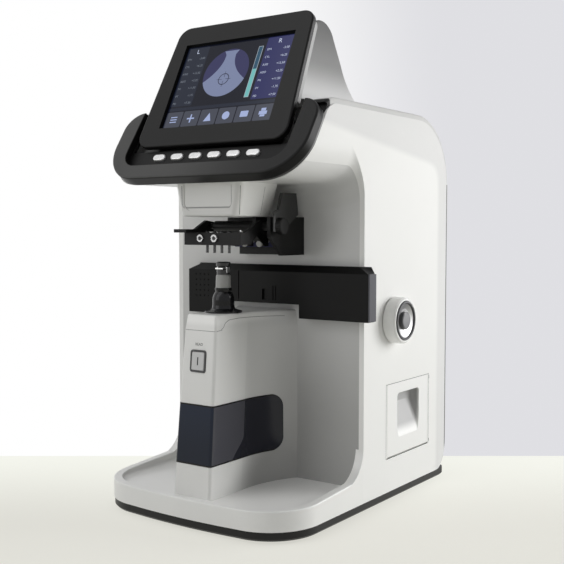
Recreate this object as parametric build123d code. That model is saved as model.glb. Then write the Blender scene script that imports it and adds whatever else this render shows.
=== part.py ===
from build123d import *
import math
import os

# Auto lensmeter, in millimetres.
# Drawing frame: X = 0 on the optical plane, Y = 0 at the front edge of the base,
# Z = 0 on the table top. Saved parts are moved so that the origin lies on the
# optical axis, at the underside of the base pan.

OPTICAL_Y = 61.5
FOOT_HEIGHT = 2.0

# Whole body
HALF_WIDTH = 108.0
BODY_BACK = 291.0
REAR_BACK = 297.0
COLUMN_FRONT = 124.7
PANEL_TOP = 359.5
HEAD_BOTTOM = 295.0
WALL = 3.0
PANEL_INNER = 103.0
BACK_TOP_RADIUS = 60.0
BACK_BOTTOM_RADIUS = 20.0
HEAD_TOP_RADIUS = 24.0
HEAD_SIDE_RADIUS = 32.0
UNDERSIDE_RADIUS = 22.0

# Base
PAN_TOP = 10.5
BASE_CORNER = 48.0
BASE_BOW = 3.0
RIM_FRONT_Z = 28.0
RIM_BACK_Z = 32.5
TRAY_FLOOR_Z = 23.5
RIM_WIDTH = 8.0
CHEEK_TOP = 62.0
FOOT_RADIUS = 9.0
PAN_RELIEF = 0.4

# Console: a tilted tray with its own plane (x across, y up the slope)
CONSOLE_Y = 29.5
CONSOLE_Z = 319.5
CONSOLE_LEAN = 33.0
CONSOLE_BOTTOM = -22.7
CONSOLE_TOP = 53.0
CONSOLE_DEPTH = 11.2
CONSOLE_CORNER = 38.0
RECESS_BOTTOM = -9.0
RECESS_HALF = 90.0
RECESS_DEPTH = 7.0
RECESS_CORNER = 16.0
POCKET_BOTTOM = 10.6
POCKET_HALF = 88.0
POCKET_DEPTH = 17.0
BAND = 5.5
BAND_HALF = 105.5

# Menu buttons
MENU_COUNT = 6
MENU_PITCH = 21.0
MENU_LENGTH = 14.0
MENU_HEIGHT = 6.8
MENU_UP = 3.0
MENU_PROUD = 2.2

# Display: its own plane, leaning back
DISPLAY_Y = 43.0
DISPLAY_Z = 340.0
DISPLAY_LEAN = 26.2
BEZEL_BOTTOM = -12.3
BEZEL_TOP = 117.0
BEZEL_HALF_BOTTOM = 84.3
BEZEL_HALF_TOP = 75.8
BEZEL_THICK = 5.0
BEZEL_CORNER = 13.0
SCREEN_HALF = 61.8
SCREEN_BOTTOM = 6.7
SCREEN_TOP = 96.3
TRIM_BACK = 11.0
TRIM_BOTTOM = 27.0
TILT_UP = 42.0
TILT_IN = 16.5
TILT_GAP = 1.6
TILT_PIN_RADIUS = 1.5
RUN_GAP = 0.05

# Printer door, in the right side panel
DOOR_Y0 = 167.5
DOOR_Y1 = 250.1
DOOR_Z0 = 41.6
DOOR_Z1 = 111.6
DOOR_GAP = 0.5
DOOR_THICK = 4.0
DOOR_PIN_RADIUS = 1.0
ROLL_RADIUS = 21.0
ROLL_WIDTH = 57.0
ROLL_BORE = 6.0
ROLL_X = 70.0
ROLL_Z = 76.0

# Table drive
KNOB_Y = 178.0
KNOB_Z = 171.0
KNOB_RADIUS = 21.5
KNOB_OUT = 13.0
PINION_TEETH = 16
GEAR_MODULE = 1.5
TABLE_FRONT = 112.0
TABLE_BACK = 123.7
TABLE_LEFT = -84.0
TABLE_RIGHT = 120.6
TABLE_BOTTOM = 174.0
TABLE_TOP = 222.0
TABLE_LIP = 6.0
NOTCH_HALF = 47.0
NOTCH_TOP = 186.5
ROD_RADIUS = 4.0
ROD_X = 62.0
ROD_Z = 204.0
RACK_X = 80.0

# Lower optics tower
TOWER_FRONT_TOP = 29.0
TOWER_FRONT_BOTTOM = 15.5
TOWER_HALF_TOP = 18.0
TOWER_HALF_BOTTOM = 20.5
TOWER_CAP_Z = 167.0
TOWER_TOP_Z = 181.0
TOWER_BEND_Y = 64.0
TOWER_FLARE_HALF = 37.0
WINDOW_Z0 = 52.0
WINDOW_Z1 = 104.0
WINDOW_BACK = 112.0
WINDOW_DEEP = 2.4

# Read button
READ_WIDTH = 17.5
READ_HEIGHT = 19.5
READ_Z = 141.0
READ_RING = 1.6

# Nosepiece
NOSE_TOP_Z = 226.0
NOSE_BORE = 3.6
NOSE_PLUG_RADIUS = 9.0
NOSE_PLUG_DEPTH = 5.0
NOSE_FLANGE_RADIUS = 16.6
NOSE_BELL_RADIUS = 9.8

# Upper optics housing and the lens press under it
NOSE_FRONT = 40.0
NOSE_BACK = 92.0
NOSE_BOTTOM_Z = 266.0
NOSE_HALF_BOTTOM = 32.0
NOSE_HALF_TOP = 38.0
SHAFT_Y = 79.5
SHAFT_Z = 257.5
SHAFT_RADIUS = 2.5
TUBE_RADIUS = 4.0
CHEEK_X = 40.5
CHEEK_THICK = 3.5
HOUSE_LEFT = -24.0
PLATE_X = 23.9
SHAFT_LEFT = -36.0
PRESS_ARM_X = 29.0
PRESS_ARM_THICK = 3.0
PRESS_FRONT = 46.0
PIN_Y = 54.5
PIN_PITCH = 8.3
PEN_PITCH = 17.0
PEN_Y = 97.5
PEN_Z = 243.0
PEN_RADIUS = 2.5

# Feet, screws and the sheet that the inner parts stand on
FOOT_PLACES = [(-80, 40), (80, 40), (-85, 268), (85, 268)]
SCREW_PLACES = [(-80, 150), (80, 150), (-70, 262), (70, 262)]
SCREW_RADIUS = 1.5
SCREW_HEAD = 3.2
CHASSIS_FLOOR_Z = 11.0

# Rear cover: mains inlet, switch and vents
INLET_X = -58.0
INLET_Z = 52.0
SWITCH_X = -22.0
INLET_LEFT = -74.0
INLET_RIGHT = -9.0
VENT_ROWS = 9
ROCKER_Y = 290.0

# Lens table's dimples, guide rods and rack
DIMPLE_COLUMNS = 4
DIMPLE_ROWS = 5
ROD_BACK = 215.0
RACK_TEETH = 12

# Printer's roller and the door's finger scoop
PLATEN_X = 86.0
PLATEN_Z = 101.0
SCOOP_Y0 = 187.0
SCOOP_Y1 = 231.0
SCOOP_Z0 = 59.0
SCOOP_Z1 = 101.0
SCOOP_DEPTH = 8.0

os.makedirs("parts", exist_ok=True)


def save(name, shape):
    # moves a finished part to the saved frame and writes it
    moved = Location((0, -OPTICAL_Y, -FOOT_HEIGHT)) * shape
    moved.label = name
    export_step(moved, f"parts/{name}.step")


def block(x0, x1, y0, y1, z0, z1):
    middle = ((x0 + x1) / 2, (y0 + y1) / 2, (z0 + z1) / 2)
    return Location(middle) * Box(x1 - x0, y1 - y0, z1 - z0)


def rod_x(radius, x0, x1, y, z):
    return Location(((x0 + x1) / 2, y, z), (0, 90, 0)) * Cylinder(radius, x1 - x0)


def rod_y(radius, y0, y1, x, z):
    return Location((x, (y0 + y1) / 2, z), (90, 0, 0)) * Cylinder(radius, y1 - y0)


def rod_z(radius, z0, z1, x, y):
    return Location((x, y, (z0 + z1) / 2)) * Cylinder(radius, z1 - z0)


def side_face(points):
    # a face in the YZ plane from a list of (y, z) corners
    return Plane.YZ * make_face(Polyline(*points, close=True))


def side_prism(face, x0, x1):
    return extrude(Location((x0, 0, 0)) * face, amount=x1 - x0, dir=(1, 0, 0))


def rounded(shape, edges, radius):
    # rounds the edges, with a smaller radius where the full one doesn't fit
    for share in (1.0, 0.7, 0.45, 0.25):
        try:
            done = fillet(edges, radius * share)
            if done.is_valid and done.volume > 0:
                return done
        except Exception:
            continue
    print("not rounded", radius)
    return shape


def lean_plane(y, z, lean):
    # a plane facing forwards and upwards, with its local y up the slope
    t = math.radians(lean)
    return Plane(origin=(0, y, z), x_dir=(1, 0, 0), z_dir=(0, -math.cos(t), math.sin(t)))


def on_plane(plane, x0, x1, y0, y1, z0, z1):
    # a block given in a plane's own axes
    return plane.location * block(x0, x1, y0, y1, z0, z1)


def corner_face(points, radii):
    # a polygon face with each corner rounded by its own radius
    face = make_face(Polyline(*points, close=True))
    for (px, py), radius in zip(points, radii):
        if radius:
            near = [v for v in face.vertices() if abs(v.X - px) < 0.01 and abs(v.Y - py) < 0.01]
            face = fillet(near, radius)
    return face


CONSOLE = lean_plane(CONSOLE_Y, CONSOLE_Z, CONSOLE_LEAN)
DISPLAY = lean_plane(DISPLAY_Y, DISPLAY_Z, DISPLAY_LEAN)
DISPLAY_UP = (math.sin(math.radians(DISPLAY_LEAN)), math.cos(math.radians(DISPLAY_LEAN)))
TILT_Y = DISPLAY_Y + TILT_UP * DISPLAY_UP[0] + TILT_IN * DISPLAY_UP[1]
TILT_Z = DISPLAY_Z + TILT_UP * DISPLAY_UP[1] - TILT_IN * DISPLAY_UP[0]
CONSOLE_SLOPE = math.tan(math.radians(CONSOLE_LEAN))
HEAD_FRONT_Y = CONSOLE_Y + CONSOLE_DEPTH / math.cos(math.radians(CONSOLE_LEAN))


def head_front(z):
    # where the front of the head lies at a height
    return HEAD_FRONT_Y + (z - CONSOLE_Z) * CONSOLE_SLOPE


# Outer shape of column and head

def body_profile(grow):
    # side outline of the body, down to the base, grown or shrunk by a margin
    lean = grow / math.cos(math.radians(CONSOLE_LEAN))
    low = PAN_TOP - min(grow, 0)
    top = PANEL_TOP + grow
    points = [
        (10, low),
        (BODY_BACK + grow, low),
        (BODY_BACK + grow, top),
        (head_front(top) - lean, top),
        (head_front(HEAD_BOTTOM - 20) - lean, HEAD_BOTTOM - 20),
        (10, HEAD_BOTTOM - 20),
    ]
    radii = [0, BACK_BOTTOM_RADIUS + grow, BACK_TOP_RADIUS + grow, HEAD_TOP_RADIUS + grow, 0, 0]
    return Plane.YZ * corner_face(points, radii)


def room_under_head(inset):
    # the space in front of the column and under the head, with rounded sides and back edge
    half = HALF_WIDTH - inset
    low = HEAD_BOTTOM + inset
    back = COLUMN_FRONT + inset
    far = 170
    points = [
        (-far, -10), (far, -10), (far, 430), (half, 430), (half, low), (-half, low),
        (-half, 430), (-far, 430),
    ]
    radius = HEAD_SIDE_RADIUS - inset
    face = corner_face(points, [0, 0, 0, 0, radius, radius, 0, 0])
    room = extrude(Plane((0, back, 0), x_dir=(1, 0, 0), z_dir=(0, -1, 0)) * face, amount=back + 60)
    rear_edges = [
        e for e in room.edges()
        if abs(e.center().Y - back) < 0.01 and abs(e.center().X) < half + 1 and e.center().Z > low - 1
    ]
    return rounded(room, rear_edges, UNDERSIDE_RADIUS)


outer = side_prism(body_profile(0), -HALF_WIDTH, HALF_WIDTH) - room_under_head(0)
inner_half = HALF_WIDTH - WALL
inner = side_prism(body_profile(-WALL), -inner_half, inner_half) - room_under_head(WALL)
shell = outer - inner

# The tray behind the display, which gives its lower edge room to tilt
pocket_box = on_plane(
    CONSOLE, -POCKET_HALF - 2, POCKET_HALF + 2, POCKET_BOTTOM - 2, 90, -POCKET_DEPTH - 2, 30
)
pocket = on_plane(
    CONSOLE, -POCKET_HALF, POCKET_HALF, POCKET_BOTTOM, 90, -POCKET_DEPTH, 30
)


# Base pan and feet

def base_outline(inset):
    w = HALF_WIDTH - inset
    r = BASE_CORNER - inset
    f = inset
    b = REAR_BACK - 1 - inset
    back_r = 12.0
    with BuildLine() as line:
        Line((-w, b - back_r), (-w, f + BASE_BOW + r))
        TangentArc((-w, f + BASE_BOW + r), (-w + r, f + BASE_BOW), tangent=(0, -1))
        ThreePointArc((-w + r, f + BASE_BOW), (0, f), (w - r, f + BASE_BOW))
        TangentArc((w - r, f + BASE_BOW), (w, f + BASE_BOW + r), tangent=(1, 0))
        Line((w, f + BASE_BOW + r), (w, b - back_r))
        TangentArc((w, b - back_r), (w - back_r, b), tangent=(0, 1))
        Line((w - back_r, b), (-w + back_r, b))
        TangentArc((-w + back_r, b), (-w, b - back_r), tangent=(-1, 0))
    return make_face(line.line)


pan = extrude(Location((0, 0, FOOT_HEIGHT)) * base_outline(0.8), amount=PAN_TOP - FOOT_HEIGHT)
pan = pan - extrude(Location((0, 0, FOOT_HEIGHT + 3)) * base_outline(4.5), amount=20)
bottom_edges = [e for e in pan.edges() if abs(e.center().Z - FOOT_HEIGHT) < 0.01]
pan = chamfer(bottom_edges, 2.4)
relief = block(-120, 120, -10, 300, FOOT_HEIGHT - 1, FOOT_HEIGHT + PAN_RELIEF)
pan = pan - (relief - block(-56, 56, 24, 240, FOOT_HEIGHT - 1, FOOT_HEIGHT + 1))
case_screws = None
for px, py in SCREW_PLACES:
    pan = pan + rod_z(6.0, FOOT_HEIGHT + 2, CHASSIS_FLOOR_Z, px, py)
    pan = pan - rod_z(SCREW_HEAD, 0, FOOT_HEIGHT + 1.6, px, py) - rod_z(SCREW_RADIUS, 0, 20, px, py)
    head_low = FOOT_HEIGHT + PAN_RELIEF + 0.1
    screw = rod_z(SCREW_HEAD, head_low, FOOT_HEIGHT + 1.6, px, py)
    screw = screw + rod_z(SCREW_RADIUS, FOOT_HEIGHT + 1.6, CHASSIS_FLOOR_Z + 2.0, px, py)
    screw = screw - block(px - 2.2, px + 2.2, py - 0.4, py + 0.4, FOOT_HEIGHT - 1, head_low + 0.7)
    case_screws = screw if case_screws is None else case_screws + screw
save("base_pan", pan)
save("case_screws", case_screws)

feet = None
for fx, fy in FOOT_PLACES:
    foot = rod_z(FOOT_RADIUS, 0, FOOT_HEIGHT + PAN_RELIEF, fx, fy)
    feet = foot if feet is None else feet + foot
save("rubber_feet", feet)

# Base cover: rim band, rolled rim and shallow tray
base = extrude(Location((0, 0, PAN_TOP)) * base_outline(0), amount=CHEEK_TOP - PAN_TOP)
base = base & block(-130, 130, -10, COLUMN_FRONT, 0, 100)
rim_top = [
    (-5, RIM_FRONT_Z - 0.5),
    (45, RIM_FRONT_Z + 0.3),
    (106, RIM_BACK_Z),
]
with BuildLine() as rim_line:
    Polyline((-5, 200), (-5, rim_top[0][1]), *rim_top[1:])
    ThreePointArc(rim_top[-1], (118.5, 42.0), (COLUMN_FRONT, CHEEK_TOP))
    Polyline((COLUMN_FRONT, CHEEK_TOP), (140, CHEEK_TOP), (140, 200), (-5, 200))
above_rim = Plane.YZ * make_face(rim_line.line)
base = base - side_prism(above_rim, -130, 130)
tray_cut = extrude(Location((0, 0, TRAY_FLOOR_Z)) * base_outline(RIM_WIDTH), amount=80)
tray_edges = [e for e in tray_cut.edges() if abs(e.center().Z - TRAY_FLOOR_Z) < 0.01]
tray_cut = rounded(tray_cut, tray_edges, 4.0)
base = base - tray_cut
underside = extrude(Location((0, 0, PAN_TOP - 1)) * base_outline(3.5), amount=TRAY_FLOOR_Z - PAN_TOP - 2)
base = base - (underside & block(-130, 130, 0, COLUMN_FRONT + 5, 0, 100))
outer_rim = [
    e for e in base.edges()
    if e.center().Z > RIM_FRONT_Z - 1.5 and e.center().Y < 60
    and (abs(e.center().X) > HALF_WIDTH - 22 or e.center().Y < 12) and e.length > 20
]
base = rounded(base, outer_rim, 2.6)
save("base_cover", base)


# Side panels

def back_margin():
    # a shallow slope along the top and back of the right panel's outer face
    fall = 1.3
    wide = 17.0
    x = HALF_WIDTH
    cy = BODY_BACK - BACK_TOP_RADIUS
    cz = PANEL_TOP - BACK_TOP_RADIUS
    top = make_face(Polyline(
        (x + 1, PANEL_TOP - wide), (x, PANEL_TOP - wide), (x - fall, PANEL_TOP), (x - fall, PANEL_TOP + 2),
        (x + 1, PANEL_TOP + 2), close=True
    ))
    start = head_front(PANEL_TOP) - 30
    top = extrude(Plane((0, cy, 0), x_dir=(1, 0, 0), z_dir=(0, -1, 0)) * top, amount=cy - start)
    back = make_face(Polyline(
        (x + 1, BODY_BACK - wide), (x, BODY_BACK - wide), (x - fall, BODY_BACK), (x - fall, BODY_BACK + 2),
        (x + 1, BODY_BACK + 2), close=True
    ))
    back = extrude(Location((0, 0, 0)) * back, amount=cz)
    ring = make_face(Polyline(
        (x + 1, BACK_TOP_RADIUS - wide), (x, BACK_TOP_RADIUS - wide), (x - fall, BACK_TOP_RADIUS),
        (x - fall, BACK_TOP_RADIUS + 40), (x + 1, BACK_TOP_RADIUS + 40), close=True
    ))
    ring = Plane((0, cy, cz), x_dir=(1, 0, 0), z_dir=(0, 1, 0)) * ring
    ring = revolve(ring, Axis((0, cy, cz), (1, 0, 0)), 360)
    ring = ring & block(x - 5, x + 2, cy, BODY_BACK + 5, cz, PANEL_TOP + 5)
    return top + back + ring


margin = back_margin()
right_panel = (shell & block(PANEL_INNER, HALF_WIDTH + 1, 0, 400, 0, 420)) - margin
left_panel = mirror(right_panel, Plane.YZ)
door_hole = block(100, 112, DOOR_Y0, DOOR_Y1, DOOR_Z0, DOOR_Z1)
right_panel = right_panel - door_hole - rod_x(6.0, 100, 112, KNOB_Y, KNOB_Z)
DOOR_HINGE_X = HALF_WIDTH - DOOR_THICK / 2
DOOR_HINGE_Z = DOOR_Z0 + DOOR_GAP + DOOR_THICK / 2
right_panel = right_panel - rod_y(
    DOOR_PIN_RADIUS + RUN_GAP, DOOR_Y0 - 2, DOOR_Y1 + 2, DOOR_HINGE_X, DOOR_HINGE_Z
)
save("right_side_panel", right_panel)
save("left_side_panel", left_panel)

# Column front cover: column front, underside and front wall of the head
front_zone = block(-PANEL_INNER, PANEL_INNER, 0, COLUMN_FRONT + WALL, 0, PANEL_TOP - 8)
front_zone = front_zone - block(-120, 120, 0, 200, 0, TRAY_FLOOR_Z)
front_cover = (shell & front_zone) - pocket_box
front_cover = front_cover + block(
    -PANEL_INNER, PANEL_INNER, COLUMN_FRONT, COLUMN_FRONT + WALL, TRAY_FLOOR_Z, 40
)
for side in (-1, 1):
    front_cover = front_cover - rod_y(7.0, 110, 140, side * ROD_X, ROD_Z)
front_cover = front_cover - block(RACK_X - 5, RACK_X + 5, 110, 140, 179, 197)
front_cover = front_cover - rod_z(12.0, 280, 310, 0, OPTICAL_Y)

# Top cover: band over the head and down the back corner
band_outer = side_prism(body_profile(BAND), -BAND_HALF, BAND_HALF)
long_edges = [e for e in band_outer.edges() if abs(abs(e.center().X) - BAND_HALF) < 0.01]
band_outer = rounded(band_outer, long_edges, 2.2)
band_zone = block(-120, 120, 0, 400, 330.0, 420) + block(-120, 120, 200, 400, 300, 420)
top_cover = (band_outer & band_zone) - outer - block(-120, 120, 0, 60, 200, 330)
console_zone = on_plane(CONSOLE, -120, 120, -60, CONSOLE_TOP, -CONSOLE_DEPTH, 40)
top_cover = top_cover - pocket_box - console_zone
save("top_cover", top_cover)

# Rear cover: dark strip up the back, with vents, inlet and switch openings
rear_zone = block(-BAND_HALF, BAND_HALF, 262, 400, PAN_TOP, 300)
rear_cover = (side_prism(body_profile(REAR_BACK - BODY_BACK), -BAND_HALF, BAND_HALF) & rear_zone) - outer
rear_edges = [
    e for e in rear_cover.edges()
    if abs(abs(e.center().X) - BAND_HALF) < 0.01 and abs(e.center().Y - REAR_BACK) < 0.01
]
rear_cover = rounded(rear_cover, rear_edges, 2.2)
rear_cover = rear_cover + block(-PANEL_INNER, PANEL_INNER, BODY_BACK - WALL, BODY_BACK, 32, 300)
rear_cover = rear_cover - block(-99.5, 99.5, BODY_BACK - WALL - 1, REAR_BACK - WALL, 34, 297)
rear_cover = rear_cover - block(INLET_LEFT, INLET_RIGHT, 280, 300, INLET_Z - 10.5, INLET_Z + 10.5)
for row in range(VENT_ROWS):
    z = 190 + row * 9
    for side in (-1, 1):
        rear_cover = rear_cover - block(side * 42 - 30, side * 42 + 30, 280, 300, z, z + 3.5)
port_hole = block(20, 88, 280, 300, 40, 64)
rear_cover = rear_cover - port_hole
save("rear_cover", rear_cover)

port_plate = block(20.2, 87.8, 292, 296, 40.2, 63.8)
port_plate = port_plate - block(28, 40, 290, 298, 47, 57) - block(48, 60, 290, 298, 47, 57)
save("port_plate", port_plate)

# Console tray
outline = corner_face(
    [
        (-HALF_WIDTH, CONSOLE_BOTTOM), (HALF_WIDTH, CONSOLE_BOTTOM),
        (HALF_WIDTH, CONSOLE_TOP), (-HALF_WIDTH, CONSOLE_TOP),
    ],
    [CONSOLE_CORNER, CONSOLE_CORNER, 20, 20],
)
console = CONSOLE.location * extrude(Location((0, 0, -CONSOLE_DEPTH)) * outline, amount=CONSOLE_DEPTH)
front_edges = [
    e for e in console.edges()
    if abs(CONSOLE.to_local_coords(e.center()).Z) < 0.01
]
console = rounded(console, front_edges, 2.0)
recess = corner_face(
    [(-RECESS_HALF, RECESS_BOTTOM), (RECESS_HALF, RECESS_BOTTOM), (RECESS_HALF, 80), (-RECESS_HALF, 80)],
    [RECESS_CORNER, RECESS_CORNER, 0, 0],
)
recess_cut = extrude(Location((0, 0, -RECESS_DEPTH)) * recess, amount=30)
console = console - CONSOLE.location * recess_cut
console = console + on_plane(
    CONSOLE, -POCKET_HALF - 2, POCKET_HALF + 2, POCKET_BOTTOM - 2, 40,
    -POCKET_DEPTH - 2, -RECESS_DEPTH
)
console = console - pocket


def menu_place(index):
    return (index - (MENU_COUNT - 1) / 2) * MENU_PITCH


def pill(length, height, low, high):
    face = SlotOverall(length, height)
    return extrude(Location((0, 0, low)) * face, amount=high - low)


for index in range(MENU_COUNT):
    hole = Location((menu_place(index), MENU_UP, 0)) * pill(MENU_LENGTH + 0.6, MENU_HEIGHT + 0.6, -30, 5)
    console = console - CONSOLE.location * hole
save("console_frame", console)

for index in range(MENU_COUNT):
    cap = pill(MENU_LENGTH, MENU_HEIGHT, -CONSOLE_DEPTH + 1, -RECESS_DEPTH + MENU_PROUD)
    crown = [e for e in cap.edges() if abs(e.center().Z + RECESS_DEPTH - MENU_PROUD) < 0.01]
    cap = rounded(cap, crown, 1.4)
    cap = Location((menu_place(index), MENU_UP, 0)) * cap
    save(f"menu_button_{index + 1}", CONSOLE.location * cap)

key_board = on_plane(CONSOLE, -66, 66, -8, 8.2, -15.5, -13.9)
front_opening = on_plane(CONSOLE, -67, 67, -9, 9, -16, -CONSOLE_DEPTH)
save("key_board", key_board)
save("column_front_cover", front_cover - front_opening)

# Display head


def bezel_face(inset):
    return corner_face(
        [
            (-BEZEL_HALF_BOTTOM + inset, BEZEL_BOTTOM + inset),
            (BEZEL_HALF_BOTTOM - inset, BEZEL_BOTTOM + inset),
            (BEZEL_HALF_TOP - inset, BEZEL_TOP - inset), (-BEZEL_HALF_TOP + inset, BEZEL_TOP - inset),
        ],
        [BEZEL_CORNER] * 4,
    )


bezel = extrude(Location((0, 0, -BEZEL_THICK)) * bezel_face(0), amount=BEZEL_THICK)
bezel = bezel - block(-SCREEN_HALF, SCREEN_HALF, SCREEN_BOTTOM, SCREEN_TOP, -10, 10)
bezel = bezel - block(-SCREEN_HALF - 6, SCREEN_HALF + 6, SCREEN_BOTTOM - 6, SCREEN_TOP + 6, -10, -3)
front_rim = [
    e for e in bezel.edges()
    if abs(e.center().Z) < 0.01 and (abs(e.center().X) > SCREEN_HALF + 2 or e.center().Y > SCREEN_TOP + 2
                                     or e.center().Y < SCREEN_BOTTOM - 2)
]
bezel = rounded(bezel, front_rim, 1.8)
save("display_bezel", DISPLAY.location * bezel)

screen = block(-SCREEN_HALF - 5.5, SCREEN_HALF + 5.5, SCREEN_BOTTOM - 5.5, SCREEN_TOP + 5.5, -4.2, -3.05)
screen = screen + block(-SCREEN_HALF - 4, SCREEN_HALF + 4, SCREEN_BOTTOM - 4, SCREEN_TOP + 4, -7.2, -4.2)
save("touch_screen", DISPLAY.location * screen)

back_face = bezel_face(1.6) & make_face(
    Polyline((-100, TRIM_BOTTOM), (100, TRIM_BOTTOM), (100, 130), (-100, 130), close=True)
)
back_shell = extrude(Location((0, 0, -TRIM_BACK)) * back_face, amount=TRIM_BACK - BEZEL_THICK)
back_shell = back_shell - block(-SCREEN_HALF - 6, SCREEN_HALF + 6, 20, SCREEN_TOP + 6, -9, 0)
lug_radius = 3.6
for side in (-1, 1):
    x0, x1 = sorted((side * 44.2, side * 55.8))
    lug = rod_x(lug_radius, x0, x1, TILT_Y, TILT_Z)
    x0, x1 = sorted((side * 39, side * 61))
    lug = lug + rod_x(TILT_PIN_RADIUS, x0, x1, TILT_Y, TILT_Z)
    x0, x1 = sorted((side * 44.2, side * 55.8))
    neck = block(x0, x1, TILT_UP - 3.2, TILT_UP + 3.2, -TILT_IN, 1 - TRIM_BACK)
    back_shell = back_shell + DISPLAY.location.inverse() * lug + neck
back_shell = DISPLAY.location * back_shell
save("display_back", back_shell)

# Pedestal behind the display, on top of the head
front_gap = TRIM_BACK + TILT_GAP


def behind_display(up, back):
    y = DISPLAY_Y + up * DISPLAY_UP[0] + back * DISPLAY_UP[1]
    z = DISPLAY_Z + up * DISPLAY_UP[1] - back * DISPLAY_UP[0]
    return (y, z)


base_z = PANEL_TOP + BAND
low_front = behind_display(30.5, front_gap)
low_front = (low_front[0] + (base_z - low_front[1]) * math.tan(math.radians(DISPLAY_LEAN)), base_z)
top_front = behind_display(BEZEL_TOP - 4, front_gap)
with BuildLine() as hump_line:
    Line(low_front, top_front)
    ThreePointArc(top_front, (120.5, 437.2), (132.0, 424.0))
    Line((132.0, 424.0), (141.0, 402.0))
    ThreePointArc((141.0, 402.0), (151.5, 381.5), (172.0, base_z))
    Line((172.0, base_z), low_front)
hump = side_prism(Plane.YZ * make_face(hump_line.line), -90, 90)
gate = Plane.XZ * corner_face([(-78, base_z - 5), (78, base_z - 5), (69.5, 445), (-69.5, 445)], [0, 0, 0, 0])
hump = hump & extrude(gate, amount=-250)
hump_edges = [
    e for e in hump.edges()
    if abs(e.center().X) > 60 and e.center().Y > 112 and e.center().Z > base_z + 2
]
hump = rounded(hump, hump_edges, 5.0)


def pedestal_room(front):
    # the hollow inside the pedestal, starting some way behind its front face
    return side_face([
        (low_front[0] + front, base_z - 1), (top_front[0] + front - 1, top_front[1] - front - 2), (124, 424),
        (134, 402), (148, 376), (152, base_z - 1),
    ])


hump = hump - side_prism(pedestal_room(6), -36, 36)
for side in (-1, 1):
    x0, x1 = sorted((side * 36, side * 62))
    hump = hump - side_prism(pedestal_room(16), x0, x1)
    x0, x1 = sorted((side * 43, side * 57))
    hump = hump - rod_x(lug_radius + 1.2, x0, x1, TILT_Y, TILT_Z)
    slot = block(x0, x1, TILT_UP - lug_radius - 1.2, TILT_UP + lug_radius + 1.2, -TILT_IN, -TRIM_BACK)
    hump = hump - DISPLAY.location * slot
    x0, x1 = sorted((side * 38, side * 62))
    hump = hump - rod_x(TILT_PIN_RADIUS + RUN_GAP, x0, x1, TILT_Y, TILT_Z)
save("display_pedestal", hump)


# Lower optics tower: a leaning front, then sides that flare back to the column

def tower_front(z):
    share = (z - 18) / (TOWER_CAP_Z - 18)
    return TOWER_FRONT_BOTTOM + (TOWER_FRONT_TOP - TOWER_FRONT_BOTTOM) * share


def tower_half(z):
    share = (z - 18) / (TOWER_CAP_Z - 18)
    return TOWER_HALF_BOTTOM + (TOWER_HALF_TOP - TOWER_HALF_BOTTOM) * share


def tower_section(z, inset, back):
    # plan section of the tower at a height
    half = tower_half(z) - inset
    front = tower_front(z) + inset
    flare = TOWER_FLARE_HALF - inset
    with BuildLine() as line:
        Line((-half, front), (half, front))
        Line((half, front), (half, TOWER_BEND_Y))
        ThreePointArc((half, TOWER_BEND_Y), (half + 3.4, 95), (flare, COLUMN_FRONT + 0.2))
        Line((flare, COLUMN_FRONT + 0.2), (flare, back))
        Line((flare, back), (-flare, back))
        Line((-flare, back), (-flare, COLUMN_FRONT + 0.2))
        ThreePointArc((-flare, COLUMN_FRONT + 0.2), (-half - 3.4, 95), (-half, TOWER_BEND_Y))
        Line((-half, TOWER_BEND_Y), (-half, front))
    face = make_face(line.line)
    near = [v for v in face.vertices() if abs(v.Y - front) < 0.01]
    return Location((0, 0, z)) * fillet(near, 3.0)


def tower_body(inset, low, high):
    return loft([tower_section(low, inset, 130), tower_section(high, inset, 130)])


tower = tower_body(0, TRAY_FLOOR_Z, TOWER_CAP_Z) & block(-60, 60, 0, COLUMN_FRONT, 0, 400)
tower_room = tower_body(2.5, TRAY_FLOOR_Z - 1, TOWER_CAP_Z + 1)
tower_room = tower_room & block(-60, 60, 0, COLUMN_FRONT - 2.5, 0, 400)
window_zone = block(-60, 60, 0, WINDOW_BACK, WINDOW_Z0, WINDOW_Z1)
window_zone = rounded(window_zone, [
    e for e in window_zone.edges() if abs(e.center().Y - WINDOW_BACK) < 0.01 and abs(e.center().X) < 1
], 12.0)
window_skin = tower_body(-0.4, TRAY_FLOOR_Z, TOWER_CAP_Z)
window_skin = window_skin - tower_body(WINDOW_DEEP, TRAY_FLOOR_Z - 1, TOWER_CAP_Z + 1)
window = window_skin & window_zone
read_hole = block(-READ_WIDTH / 2, READ_WIDTH / 2, 0, 60, READ_Z - READ_HEIGHT / 2, READ_Z + READ_HEIGHT / 2)
read_hole = rounded(read_hole, read_hole.edges().filter_by(Axis.Y), 2.4)
tower = tower - tower_room - window_zone - read_hole
save("tower_shell", tower)
save("tower_window", window)

cap_low = tower_section(TOWER_CAP_Z, 0, 130)
cap_high = tower_section(TOWER_CAP_Z, 1.2, 130)
cap = loft([cap_low, Location((0, 1.0, TOWER_TOP_Z - TOWER_CAP_Z)) * cap_high])
cap = cap & block(-60, 60, 0, COLUMN_FRONT, 0, 400)
cap_edges = [
    e for e in cap.edges()
    if e.center().Z > TOWER_TOP_Z - 0.1 and e.center().Y < COLUMN_FRONT - 1
]
cap = rounded(cap, cap_edges, 5.0)
cap = cap - (tower_body(2.5, TRAY_FLOOR_Z, 178) & block(-60, 60, 0, COLUMN_FRONT - 2.5, 150, 177.5))
cap = cap - rod_z(NOSE_PLUG_RADIUS + 0.1, 170, 190, 0, OPTICAL_Y)
save("tower_cap", cap)

# Read button, square, with a dark ring round it


def read_block(width, height, radius, y0, y1):
    plate = block(-width / 2, width / 2, y0, y1, READ_Z - height / 2, READ_Z + height / 2)
    return rounded(plate, plate.edges().filter_by(Axis.Y), radius)


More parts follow.
